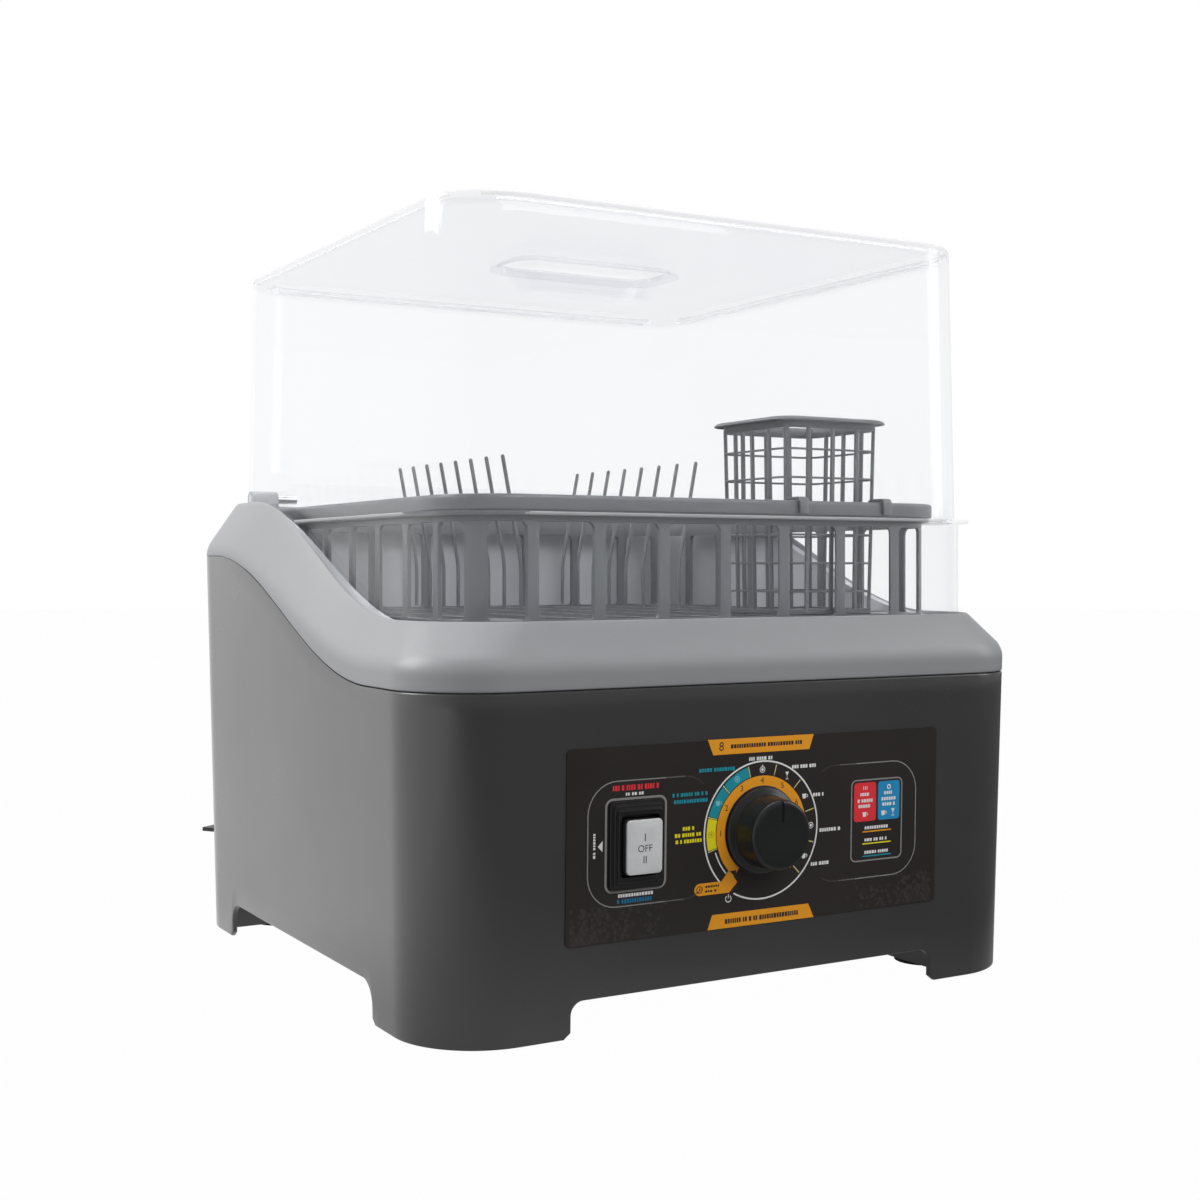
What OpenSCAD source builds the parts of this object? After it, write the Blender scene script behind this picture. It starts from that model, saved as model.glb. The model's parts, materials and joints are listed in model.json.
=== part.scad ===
// Countertop dishwasher with a clear lift-up lid, a lift-out dish rack and a turning programme knob.
// Millimetres. The origin is the middle of the footprint, on the surface that it stands on.
// +X is to the right, +Y to the back and +Z up.

/* [Casing] */
// Width and depth of the casing where it stands
base_w = 383.6; // [370:0.2:420]
// Outward lean of the casing walls, in degrees
draft = 1.2; // [0.6:0.1:2]
// Radius of the casing's upright corners
corner_r = 47; // [40:1:52]
// Thickness of the casing wall
wall = 2.8; // [2.2:0.1:3.4]
// Height of the seam between casing and bezel at the front
seam_front = 174; // [168:1:178]
// Height of the same seam at the back
seam_back = 243; // [236:1:246]
// Height of the arch between the front feet
arch_front = 18.4; // [12:0.2:21]
// Height of the arches between the side feet
arch_side = 21.4; // [12:0.2:23]
// Half the clear width of the arches
arch_half = 116.4; // [90:0.2:120]

/* [Bezel] */
// Height of the bezel's rim at the front
rim_front = 208.3; // [204:0.1:214]
// Height of the bezel's rim at the back
rim_back = 277; // [274:0.5:280]
// How far the rim lies inside the seam
rim_inset = 15.4; // [13:0.1:18]
// Corner radius of the rim opening
rim_r = 47; // [42:1:50]
// Wall thickness of the bezel's tongue in the casing
tongue = 1.8; // [1.4:0.1:2.4]

/* [Wash tub] */
// Height of the tub floor's upper face
floor_z = 160; // [156:0.5:163]
// Thickness of the tub wall, floor and ledge
tub_t = 2.3; // [1.8:0.1:2.8]
// Width of the ledge that the lid closes on
ledge_w = 6; // [5:0.1:7]
// Radius of the hole over the sump
sump_hole_r = 52; // [48:0.5:54]

/* [Lid] */
// Height of the lid's top face
lid_top = 425.6; // [410:0.2:450]
// Height of the flange round the front and sides
flange_z = 261.5; // [260:0.1:263]
// How far the flange reaches past the skirt
flange_reach = 6.3; // [3:0.1:7]
// Wall thickness of the lid
lid_t = 2.5; // [2:0.1:3]
// Corner radius of the lid
lid_r = 42; // [36:1:44]
// Length of the handle pocket in the lid's top
pocket_w = 112; // [90:1:130]
// Width of the handle pocket
pocket_d = 46; // [36:1:60]
// Depth of the handle pocket
pocket_h = 20; // [14:0.5:24]
// Radius of the lid's hinge pins
hinge_pin_r = 3; // [2.5:0.1:3.4]

/* [Rack] */
// Gap between the rack's rim and the tub wall
rack_gap = 10; // [8:0.5:14]
// Height of the top of the rack's rim
rack_top = 273; // [268:0.5:276]
// Height of the underside of the rack's floor
rack_floor = 204; // [201:0.5:207]
// Spacing of the slats and floor bars
slat_pitch = 40; // [34:1:44]
// Width of a slat
slat_w = 7; // [5:0.5:9]
// Number of tines in each row
tine_n = 8; // [5:1:9]
// Spacing of the tines
tine_pitch = 22.3; // [18:0.1:23]
// Thickness of the tine wire
tine_d = 2.4; // [2:0.1:3.2]
// Height of the tine tops
tine_top = 303.5; // [285:0.5:320]
// Outward lean of the tines, in degrees
tine_lean = 7.5; // [0:0.5:12]

/* [Cutlery basket] */
// Width of the basket's body
basket_w = 69.5; // [60:0.5:84]
// Depth of the basket's body
basket_d = 67.5; // [50:0.5:72]
// Height of the basket's rim
basket_top = 321.6; // [300:0.2:330]
// Gap between the basket and the rack's right wall
basket_side = 45.5; // [24:0.5:50]
// Number of bands round the basket
band_n = 6; // [4:1:7]

/* [Controls] */
// Distance of the knob's axis from the middle
knob_x = -2; // [-8:0.5:8]
// Height of the knob's axis
knob_z = 95.8; // [90:0.2:100]
// Diameter of the knob's skirt
knob_d = 46; // [42:0.5:48]
// How far the knob stands out
knob_h = 19.5; // [15:0.5:24]
// Width of the printed panel
panel_w = 239.4; // [230:0.2:250]
// Height of the printed panel
panel_h = 99; // [92:0.5:108]
// Distance of the switch from the middle
switch_x = -80.1; // [-88:0.5:-72]
// Radius of the programme shaft
shaft_r = 3; // [2.6:0.1:3.4]

/* [Water and drive] */
// Length of the spray arm
arm_len = 276; // [220:1:290]
// Radius of the riser that the spray arm turns on
riser_r = 8; // [7:0.1:9]
// Radius of the heating loop
heater_r = 118; // [100:1:124]
// Radius of the wash motor
motor_r = 36; // [32:0.5:40]
// Radius of the drain spigot at the back
spigot_r = 9; // [8:0.1:10]
// Radius of the inlet thread at the back
thread_r = 13.2; // [12.6:0.1:13.6]

/* [Hidden] */

// Clearances
fit = 0.05;          // radial running fit of a shaft in its bore
seat = 0.3;          // gap between pieces that rest on or against each other
gap = 0.4;           // visible seam between two covers
big = 600;           // larger than the whole object
arc_n = 8;           // steps in each corner of a lofted cover
side_n = 20;         // steps along each side of a lofted cover
curve_n = 24;        // steps along the seam and rim curves
dark = "#3a3a3a";
grey = "#9a9b9d";
rack_grey = "#5f6063";
clear = [0.92, 0.93, 0.95, 0.3];

half0 = base_w / 2;
seam_half = half0 + seam_front * tan(draft);
rim_half = seam_half - rim_inset;
tub_in = rim_half - ledge_w;
tub_out = tub_in + tub_t;
tub_r = rim_r - ledge_w;
inner_half = half0 - wall;
inner_r = corner_r - wall;
base_z = 24;         // underside of the base cover
base_t = 2.5;
pad_h = 3;

// Half-width of the casing's outer face at a height
function casing_half(z) = half0 + z * tan(draft);
// A smooth step in height from front to back
function s_step(y, y0, y1, z0, z1) =
    z0 + (z1 - z0) * (1 - cos(180 * min(1, max(0, (y - y0) / (y1 - y0))))) / 2;
seam_y = [-116, 136];
rim_y = [-134, 120];
shoulder_rise = [13, 5];   // height of the bezel's upright face at the front and back
function seam_z(y) = s_step(y, seam_y[0], seam_y[1], seam_front, seam_back);
function rim_z(y) = s_step(y, rim_y[0], rim_y[1], rim_front, rim_back);
function shoulder_z(y) = seam_z(y) + s_step(y, rim_y[0], rim_y[1], shoulder_rise[0], shoulder_rise[1]);

// Points round a rounded square, counter-clockwise from the right
corner_signs = [[1, 1], [-1, 1], [-1, -1], [1, -1]];
function corner_pt(h, r, q, a) = (h - r) * corner_signs[q] + r * [cos(a), sin(a)];
function loop_pts(h, r, steps = side_n) = [
    for (q = [0:3]) each concat(
        [for (i = [0:arc_n]) corner_pt(h, r, q, 90 * q + 90 * i / arc_n)],
        [for (i = [1:1:steps - 1]) let (t = i / steps)
            corner_pt(h, r, q, 90 * q + 90) * (1 - t) + corner_pt(h, r, (q + 1) % 4, 90 * q + 90) * t])];
// The same points lifted to a height that depends on y
function lift_pts(pts, height) = [for (p = pts) [p[0], p[1], height(p[1])]];
// A level ring for walls that are flat between their corners
function level_ring(h, r, z) = [for (p = loop_pts(h, r, 1)) [p[0], p[1], z]];

// A closed skin over a list of rings with equally many points; wrap joins the last ring to the first
module skin(rings, wrap = false) {
    n = len(rings[0]);
    m = len(rings);
    last = wrap ? m - 1 : m - 2;
    sides = [for (k = [0:last]) for (i = [0:n - 1]) let (a = k * n, b = ((k + 1) % m) * n, j = (i + 1) % n)
        each [[a + i, b + i, b + j], [a + i, b + j, a + j]]];
    caps = wrap ? [] : [[for (i = [0:n - 1]) i], [for (i = [n - 1:-1:0]) (m - 1) * n + i]];
    polyhedron(points = [for (r = rings) each r], faces = concat(sides, caps), convexity = 8);
}

// Exact rounded outlines
module rounded(w, d, r) {
    square([w, d - 2 * r], center = true);
    square([w - 2 * r, d], center = true);
    for (sx = [-1, 1], sy = [-1, 1])
        translate([sx * (w / 2 - r), sy * (d / 2 - r)])
            circle(r = r, $fn = 48);
}
module slab(w, d, r, z0, z1) {
    translate([0, 0, z0])
        linear_extrude(z1 - z0)
            rounded(w, d, r);
}
module frame_slab(w, d, r, t, z0, z1) {
    translate([0, 0, z0])
        linear_extrude(z1 - z0)
            difference() {
                rounded(w, d, r);
                rounded(w - 2 * t, d - 2 * t, max(r - t, 0.5));
            }
}
module tube(r_out, r_in, z0, z1) {
    translate([0, 0, z0])
        difference() {
            cylinder(r = r_out, h = z1 - z0, $fn = 64);
            translate([0, 0, -1])
                cylinder(r = r_in, h = z1 - z0 + 2, $fn = 64);
        }
}
module rod(r, z0, z1) {
    translate([0, 0, z0])
        cylinder(r = r, h = z1 - z0, $fn = 64);
}
module block(lo, hi) {
    translate(lo)
        cube(hi - lo);
}

// Everything below or above a curve that runs from front to back
function curve_line(ends, height, lift) = concat(
    [[-big / 2, height(-big / 2) + lift]],
    [for (i = [0:curve_n]) let (y = ends[0] + (ends[1] - ends[0]) * i / curve_n) [y, height(y) + lift]],
    [[big / 2, height(big / 2) + lift]]);
module curve_cut(ends, height, lift, far_z) {
    rotate([90, 0, 90])
        translate([0, 0, -big / 2])
            linear_extrude(big)
                polygon(concat([[-big / 2, far_z]], curve_line(ends, height, lift), [[big / 2, far_z]]));
}
seam_fn = function(y) seam_z(y);
rim_fn = function(y) rim_z(y);

// Places children on the casing's front face: local z points out of the face
module on_front(x, z) {
    translate([x, -casing_half(z), z])
        rotate([90 + draft, 0, 0])
            children();
}
// Places children on the casing's back face: local z points out of the face
module on_back(x, z) {
    translate([x, casing_half(z), z])
        rotate([-90 - draft, 0, 0])
            children();
}
// Copies children into the four corners
module four(dx, dy) {
    for (sx = [-1, 1], sy = [-1, 1])
        translate([sx * dx, sy * dy, 0])
            children();
}

// A hollow or solid hose along a smooth line through hand-placed points
function unit(v) = v / norm(v);
function spline(p, i, t) = let (a = p[max(i - 1, 0)], b = p[i], c = p[i + 1], d = p[min(i + 2, len(p) - 1)])
    0.5 * (2 * b + (c - a) * t + (2 * a - 5 * b + 4 * c - d) * t * t + (3 * b - a - 3 * c + d) * t * t * t);
function smooth(p, n) = concat(
    [for (i = [0:len(p) - 2]) for (k = [0:n - 1]) spline(p, i, k / n)], [p[len(p) - 1]]);
function heading(p, i) = unit(p[min(i + 1, len(p) - 1)] - p[max(i - 1, 0)]);
function ring_at(c, t, r) = let (u = unit(cross(t, [0.31, 0.52, 0.79])), v = cross(u, t))
    [for (k = [0:9]) c + r * (cos(36 * k) * u + sin(36 * k) * v)];
module hose(p, r_out, r_in, n) {
    s = smooth(p, n);
    m = len(s) - 1;
    outer = [for (i = [0:m]) ring_at(s[i], heading(s, i), r_out)];
    inner = [for (i = [m:-1:0]) ring_at(s[i], heading(s, i), r_in)];
    skin(concat(outer, inner), true);
}
module wire(p, r, n) {
    s = smooth(p, n);
    skin([for (i = [0:len(s) - 1]) ring_at(s[i], heading(s, i), r)]);
}

// ---------------------------------------------------------------- casing
boss_x = inner_half - 5;
boss_y = 70;
screw_r = 1.95;
module arch(w_half, h, r, depth) {
    // The opening between two feet, widening at the surface; drawn in x and z, cut along y
    rotate([90, 0, 0])
        translate([0, 0, -depth / 2])
            linear_extrude(depth) {
                translate([-w_half, -1])
                    square([2 * w_half, h - r + 1]);
                translate([-w_half + r, -1])
                    square([2 * w_half - 2 * r, h + 1]);
                for (s = [-1, 1]) {
                    translate([s * (w_half - r), h - r])
                        circle(r = r, $fn = 48);
                    translate([s * w_half, 0])
                        polygon([[-s * 2, 3.1], [0, 3.1], [s * 5.2, -1], [-s * 2, -1]]);
                }
            }
}
module lower_casing() {
    top = seam_back + 20;
    color(dark)
        difference() {
            union() {
                difference() {
                    skin([level_ring(casing_half(0), corner_r, 0),
                        level_ring(casing_half(top), corner_r, top)]);
                    skin([level_ring(casing_half(-5) - wall, inner_r, -5),
                        level_ring(casing_half(top + 5) - wall, inner_r, top + 5)]);
                }
                four(boss_x, boss_y)
                    rod(6, base_z + base_t + seat, 70);
            }
            curve_cut(seam_y, seam_fn, 0, top + 40);
            arch(arch_half, arch_front, 7, big);
            rotate([0, 0, 90])
                arch(arch_half, arch_side, 12, big);
            four(boss_x, boss_y)
                rod(screw_r + fit, 0, 58);
            on_front(knob_x, knob_z) {
                rod(9, -10, 10);
                for (s = [-1, 1])
                    translate([s * timer_screw_x, 0, 0])
                        rod(1.7, -10, 10);
            }
            on_front(switch_x, switch_z)
                slab(switch_body[0] + 2 * seat, switch_body[1] + 2 * seat, 1, -10, 10);
            on_back(inlet_x, inlet_z)
                rod(thread_r + seat, -10, 10);
            on_back(spigot_x, spigot_z)
                rod(spigot_r + seat, -10, 10);
            on_back(gland_x, gland_z)
                rod(gland_r + seat, -10, 10);
        }
}
module base_cover() {
    color(dark)
        difference() {
            union() {
                slab(2 * inner_half - 1, 2 * inner_half - 1, inner_r, base_z, base_z + base_t);
                intersection() {
                    slab(2 * inner_half - 1, 2 * inner_half - 1, inner_r, pad_h, base_z + 1);
                    four(inner_half - 15, inner_half - 15)
                        block([-45, -45, 0], [45, 45, base_z + 1]);
                }
                for (s = [-1, 1])
                    translate([s * motor_foot, 0, 0])
                        rod(7, base_z, motor_z0 - seat);
            }
            four(boss_x, boss_y)
                rod(screw_r + fit, 0, base_z + 10);
            four(pad_at, pad_at)
                rod(3 + fit, 0, 9);
            for (i = [-4:4])
                translate([0, i * 16 + 90, 0])
                    slab(60, 5, 2.4, base_z - 1, base_z + base_t + 1);
        }
}
pad_at = inner_half - 40;
module foot_pads() {
    color("#222222")
        four(pad_at, pad_at) {
            rod(17, 0, pad_h);
            rod(3, pad_h, 8);
        }
}
module screw(head_r, head_h, r, len) {
    // Head upwards, its seat at z = 0
    difference() {
        union() {
            rod(head_r, 0, head_h);
            rod(r, -len, 0);
        }
        for (a = [0, 90])
            rotate([0, 0, a])
                block([-head_r * 0.6, -0.4, head_h * 0.5], [head_r * 0.6, 0.4, head_h + 1]);
    }
}
module base_screws() {
    color("silver")
        four(boss_x, boss_y)
            translate([0, 0, base_z])
                rotate([180, 0, 0])
                    screw(3.8, 2.4, screw_r, 30);
}

// ---------------------------------------------------------------- bezel
hinge_y = rim_half + 4;
hinge_z = rim_back + 5;
post_x = [140, 158.6];
module bezel_ring() {
    flush = function(inset, height) [for (p = loop_pts(seam_half, corner_r))
        let (z = height(p[1]), k = 1 + ((z - seam_front) * tan(draft) - inset) / seam_half)
            [p[0] * k, p[1] * k, z]];
    ledge_under = ledge_drop + tub_t + seat;    // from the rim down to the ledge that carries the tub
    ledge_t = 2.2;
    in_face = wall + gap + tongue - 0.4;
    skin([
        flush(0, function(y) seam_z(y) + gap),
        flush(0, function(y) shoulder_z(y) - 3.5),
        flush(0.35, function(y) shoulder_z(y) - 0.5),
        flush(1.6, function(y) shoulder_z(y) + 2.4),
        lift_pts(loop_pts(rim_half + 1.6, rim_r + 0.8), function(y) rim_z(y) - 0.5),
        lift_pts(loop_pts(rim_half + 0.9, rim_r + 0.4), function(y) rim_z(y)),
        lift_pts(loop_pts(rim_half, rim_r), function(y) rim_z(y)),
        lift_pts(loop_pts(rim_half, rim_r), function(y) rim_z(y) - ledge_under),
        lift_pts(loop_pts(tub_out + 0.5, tub_r + tub_t), function(y) rim_z(y) - ledge_under),
        lift_pts(loop_pts(tub_out + 0.5, tub_r + tub_t), function(y) rim_z(y) - ledge_under - ledge_t),
        lift_pts(loop_pts(rim_half + 0.4, rim_r), function(y) rim_z(y) - ledge_under - ledge_t),
        lift_pts(loop_pts(seam_half - in_face, inner_r), function(y) shoulder_z(y) - 2),
        lift_pts(loop_pts(seam_half - in_face, inner_r), function(y) seam_z(y) - 5),
        lift_pts(loop_pts(seam_half - wall - gap, inner_r), function(y) seam_z(y) - 5),
        lift_pts(loop_pts(seam_half - wall - gap, inner_r), function(y) seam_z(y) + gap)], true);
}
module upper_bezel() {
    color(grey)
        difference() {
            union() {
                bezel_ring();
                for (s = [-1, 1])
                    translate([s * (post_x[0] + post_x[1]) / 2, hinge_y, 0])
                        hinge_post();
            }
            for (s = [-1, 1])
                translate([s * (post_x[0] + post_x[1]) / 2, hinge_y, hinge_z])
                    rotate([0, 90, 0])
                        rod(hinge_pin_r + fit,
                            (post_x[0] - post_x[1]) / 2 - 1, (post_x[1] - post_x[0]) / 2 + 1);
        }
}
module hinge_post() {
    w = post_x[1] - post_x[0];
    block([-w / 2, -hinge_pin_r - 2.4, rim_back - 8], [w / 2, hinge_pin_r + 2.4, hinge_z]);
    translate([0, 0, hinge_z])
        rotate([0, 90, 0])
            rod(hinge_pin_r + 2.4, -w / 2, w / 2);
}

// ---------------------------------------------------------------- tub
ledge_drop = 3;
rest_at = tub_in - 36;
rest_r = 7;
module wash_tub() {
    color(rack_grey)
        difference() {
            union() {
                intersection() {
                    frame_slab(2 * tub_out, 2 * tub_out, tub_r + tub_t, tub_t, floor_z - tub_t, rim_back + 5);
                    curve_cut(rim_y, rim_fn, -ledge_drop, 0);
                }
                intersection() {
                    frame_slab(2 * rim_half - 1, 2 * rim_half - 1, rim_r - 0.5, ledge_w - 0.5,
                        rim_front - 20, rim_back + 5);
                    difference() {
                        curve_cut(rim_y, rim_fn, -ledge_drop, 0);
                        curve_cut(rim_y, rim_fn, -ledge_drop - tub_t, 0);
                    }
                }
                slab(2 * tub_out, 2 * tub_out, tub_r + tub_t, floor_z - tub_t, floor_z);
                four(rest_at, rest_at)
                    rod(rest_r + 4, floor_z - 1, floor_z + 6);
                four(sump_screw_at, sump_screw_at)
                    rod(4, sump_top + fit, floor_z);
                translate([inlet_port[0], inlet_port[1], floor_z - 12])
                    rod(7, 0, 28);
            }
            rod(sump_hole_r, floor_z - 10, floor_z + 10);
            four(sump_screw_at, sump_screw_at)
                rod(1.5 + fit, floor_z - 20, floor_z - 0.8);
            translate([inlet_port[0], inlet_port[1], 0])
                rod(4, floor_z - 20, floor_z + 40);
            for (s = [-1, 1])
                translate([s * heater_end, -heater_r, 0])
                    rod(heater_tube + 1.2 + seat, floor_z - 10, floor_z + 10);
            rotate([0, 0, 45])
                translate([85, 0, 0])
                    rod(9 + seat, floor_z - 10, floor_z + 10);
        }
}

// ---------------------------------------------------------------- sump, spray arm and filter
sump_r = sump_hole_r + 3;
sump_z0 = 98;
sump_flange_r = sump_r + 14;
sump_screw_at = (sump_r + 8) * 0.7071;
sump_top = floor_z - tub_t - 1.3;
module sump_seal() {
    color("#181818")
        tube(sump_r + 3, sump_r, sump_top, floor_z - tub_t);
}
module sump() {
    color("#2d2f31")
        difference() {
            union() {
                rod(sump_r, sump_z0, sump_top);
                rod(sump_flange_r, sump_top - 3, sump_top);
                translate([-sump_r + 4, 0, sump_z0 + 14])
                    rotate([0, -90, 0])
                        rod(9, 0, 22);
            }
            rod(sump_r - 2.5, sump_z0 + 3, sump_top + 5);
            rod(riser_r + 2 + seat, sump_z0 - 5, sump_z0 + 10);
            for (a = [0:60:300])
                rotate([0, 0, a])
                    translate([riser_r + 10, 0, 0])
                        rod(4, sump_z0 - 5, sump_z0 + 10);
            translate([-sump_r + 8, 0, sump_z0 + 14])
                rotate([0, -90, 0])
                    rod(6.5, 0, 40);
            four(sump_screw_at, sump_screw_at)
                rod(1.5 + 2 * fit, sump_top - 10, sump_top + 10);
        }
}
module sump_screws() {
    color("silver")
        four(sump_screw_at, sump_screw_at)
            translate([0, 0, sump_top - 3])
                rotate([180, 0, 0])
                    screw(3.2, 2, 1.5, 5.6);
}
arm_z = 177;
arm_t = 12;
module spray_riser() {
    color("#c9ccd0")
        difference() {
            union() {
                rod(riser_r + 2, sump_z0 - 0.5, arm_z - seat);
                rod(riser_r, arm_z - seat - 1, arm_z + arm_t + 2);
                rod(riser_r + 7, sump_z0 + 3 + seat, sump_z0 + 6);
            }
            rod(riser_r - 2, sump_z0 - 5, arm_z + arm_t - 4);
            for (a = [0:90:270])
                rotate([0, 0, a])
                    translate([0, 0, arm_z + 5])
                        rotate([0, 90, 0])
                            rod(2, 0, riser_r + 3);
            rod(3 + fit, arm_z + arm_t - 6, arm_z + arm_t + 5);
        }
}
module spray_cap() {
    color("#5f6063") {
        difference() {
            rod(riser_r + 4, arm_z + arm_t + 2, arm_z + arm_t + 6);
            for (a = [0:45:135])
                rotate([0, 0, a])
                    for (s = [-1, 1])
                        translate([s * (riser_r + 4.4), 0, 0])
                            rod(1.2, arm_z + arm_t, arm_z + arm_t + 10);
        }
        rod(3, arm_z + arm_t - 4, arm_z + arm_t + 2);
    }
}
module spray_arm() {
    blade = arm_len / 2;
    color("#c4c7ca")
        difference() {
            union() {
                rod(17, arm_z, arm_z + arm_t);
                for (a = [0, 180])
                    rotate([0, 0, a]) {
                        translate([0, 0, arm_z + 1])
                            linear_extrude(arm_t - 3)
                                polygon([[0, -16], [blade - 14, -10], [blade - 14, 10], [0, 16]]);
                        translate([blade - 14, 0, 0])
                            rod(10, arm_z + 1, arm_z + arm_t - 2);
                    }
            }
            rod(riser_r + fit, arm_z - 1, arm_z + arm_t + 1);
            tube(riser_r + 5, riser_r + 0.02, arm_z + 3, arm_z + 8);
            for (a = [0, 180])
                rotate([0, 0, a]) {
                    block([riser_r + 2, -4, arm_z + 3.4], [blade - 16, 4, arm_z + 7.4]);
                    for (i = [0:4])
                        translate([34 + i * (blade - 56) / 4, 1.5 * (i % 2 == 0 ? 1 : -1), 0])
                            rod(1.3, arm_z + 6, arm_z + arm_t + 5);
                    translate([blade - 12, 3, arm_z + 5])
                        rotate([0, 90, 0])
                            rod(1.1, -10, 20);
                }
        }
}
filter_r = sump_hole_r - 4;
filter_in = riser_r + 9;
module filter_basket() {
    color("#8f9498")
        difference() {
            union() {
                tube(filter_r + 9, filter_in, floor_z + seat, floor_z + 2.5);
                tube(filter_r, filter_r - 1.6, sump_z0 + 16, floor_z + 1);
                tube(filter_in + 1.6, filter_in, sump_z0 + 16, floor_z + 1);
                tube(filter_r, filter_in, sump_z0 + 16, sump_z0 + 18);
                for (a = [0, 180])
                    rotate([0, 0, a])
                        block([filter_in + 12, -1.2, floor_z + 2], [filter_in + 24, 1.2, floor_z + 7]);
            }
            for (a = [0:30:330])
                rotate([0, 0, a])
                    for (z = [sump_z0 + 24, sump_z0 + 40])
                        translate([0, 0, z])
                            rotate([0, 90, 0])
                                rod(3, filter_r - 5, filter_r + 5);
            for (a = [15:30:345])
                rotate([0, 0, a])
                    translate([(filter_in + filter_r) / 2, 0, 0])
                        rod(4, floor_z, floor_z + 5);
        }
}
heater_tube = 3.3;
heater_end = 12;
heater_z = floor_z + 8;
heater_gap_a = asin(heater_end / heater_r);
module heater_element() {
    color("#8c8378") {
        translate([0, 0, heater_z])
            rotate([0, 0, -90 + heater_gap_a])
                rotate_extrude(angle = 360 - 2 * heater_gap_a, $fn = 96)
                    translate([heater_r, 0])
                        circle(r = heater_tube, $fn = 32);
        for (s = [-1, 1])
            translate([s * heater_end, -heater_r * cos(heater_gap_a), 0]) {
                translate([0, 0, heater_z])
                    sphere(r = heater_tube + 0.3, $fn = 32);
                rod(heater_tube, floor_z - 12, heater_z);
                rod(heater_tube + 5, floor_z - tub_t - 4, floor_z - tub_t - 0.1);
            }
    }
}
module heater_clips() {
    color("silver")
        for (a = [30, 150, 210, 330])
            rotate([0, 0, a])
                translate([heater_r, 0, 0])
                    difference() {
                        block([-5.5, -4, floor_z + 0.1], [5.5, 4, heater_z + heater_tube + 1.6]);
                        translate([0, 6, heater_z])
                            rotate([90, 0, 0])
                                rod(heater_tube + 0.5, 0, 12);
                    }
}
module thermostat() {
    color("#b8b2a8")
        rotate([0, 0, 45])
            translate([85, 0, 0]) {
                rod(9, floor_z - 12, floor_z + 2);
                rod(12, floor_z - tub_t - 3, floor_z - tub_t - 0.2);
                for (s = [-1, 1])
                    translate([s * 4, 0, 0])
                        block([-0.4, -3, floor_z - 20], [0.4, 3, floor_z - 12]);
            }
}

// ---------------------------------------------------------------- wash pump and motor
pump_z0 = 74;
pump_r = 40;
motor_z0 = 36;
motor_z1 = 68;
motor_foot = 28;
axle_r = 4;
module wash_pump_housing() {
    color("#cfd2d4")
        difference() {
            union() {
                rod(pump_r, pump_z0, sump_z0 - 0.7);
                rod(10, pump_z0 - 4, pump_z0);
            }
            rod(pump_r - 4, pump_z0 + 4, sump_z0 - 3);
            rod(axle_r + fit, pump_z0 - 10, pump_z0 + 10);
            rod(riser_r + 2 + seat, sump_z0 - 6, sump_z0 + 2);
            for (a = [0:60:300])
                rotate([0, 0, a])
                    translate([riser_r + 10, 0, 0])
                        rod(4, sump_z0 - 6, sump_z0 + 2);
        }
}
module wash_pump_impeller() {
    blades = 7;
    color("#3c4a58")
        difference() {
            union() {
                rod(pump_r - 8, pump_z0 + 6, pump_z0 + 9);
                rod(9, pump_z0 + 6, pump_z0 + 18);
                for (i = [0:blades - 1])
                    rotate([0, 0, i * 360 / blades])
                        block([6, -1, pump_z0 + 8], [pump_r - 9, 1, pump_z0 + 16]);
            }
            rod(axle_r + 0.02, pump_z0, pump_z0 + 30);
        }
}
module wash_motor_stator() {
    color("#7a5a3c")
        difference() {
            rod(motor_r, motor_z0 + 6, motor_z1 - 6);
            rod(21, motor_z0, motor_z1);
            for (a = [0:30:330])
                rotate([0, 0, a])
                    translate([motor_r, 0, 0])
                        rod(1.6, motor_z0, motor_z1);
        }
}
module wash_motor_rotor() {
    color("#a8abae") {
        rod(20.5, motor_z0 + 8, motor_z1 - 8);
        rod(axle_r, motor_z0 + 1.5, pump_z0 + 17);
    }
}
module wash_motor_caps() {
    color("#b4b7ba")
        for (c = [[motor_z0, motor_z0 + 5.9, motor_z0 + 2], [motor_z1 - 5.9, motor_z1 + 2, motor_z1 - 4]])
            difference() {
                rod(motor_r, c[0], c[1]);
                tube(motor_r - 5, 9, c[2], c[2] + 2.5);
                rod(axle_r + fit, motor_z0 + 1.2, motor_z1 + 5);
            }
}

// ---------------------------------------------------------------- drain pump, inlet and outlet
drain_at = [-118, 92, 62];
outlet_reach = 40;
spigot_x = -118;
spigot_z = 62;
inlet_x = 112;
inlet_z = 62;
gland_x = 40;
gland_z = 52;
gland_r = 7;
inlet_port = [130, 118];
sump_port = [-sump_r - 18, 0, sump_z0 + 14];
drain_r = 26;        // drain pump chamber, outside
hose_r = 8;
module along_x() {
    translate(drain_at)
        rotate([0, 90, 0])
            children();
}
module drain_pump_housing() {
    color("#d8dadc")
        difference() {
            union() {
                along_x() {
                    rod(drain_r, -12, 12);
                    rod(hose_r, 11, 26);
                }
                translate(drain_at) {
                    rotate([-90, 0, 0])
                        rod(hose_r, drain_r - 5, outlet_reach);
                    block([-10, -20, base_z + base_t + fit - drain_at[2]], [10, 20, -20]);
                }
            }
            along_x() {
                rod(drain_r - 4, -9, 9);
                rod(hose_r - 2.5, 5, 30);
                rod(2.5 + fit, -13, -5);
            }
            translate(drain_at)
                rotate([-90, 0, 0])
                    rod(hose_r - 2.5, 10, outlet_reach + 5);
        }
}
module drain_pump_motor() {
    color("#4a4d50")
        along_x()
            difference() {
                union() {
                    rod(18, -46, -12.3);
                    rod(9, -52, -45);
                }
                rod(2.5 + fit, -32, -10);
            }
}
module drain_pump_rotor() {
    color("#3c4a58")
        along_x() {
            rod(6, -7, 6);
            rod(2.5, -30, -6);
            for (a = [0:60:300])
                rotate([0, 0, a])
                    block([4, -0.8, -6], [19, 0.8, 5]);
        }
}
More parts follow.
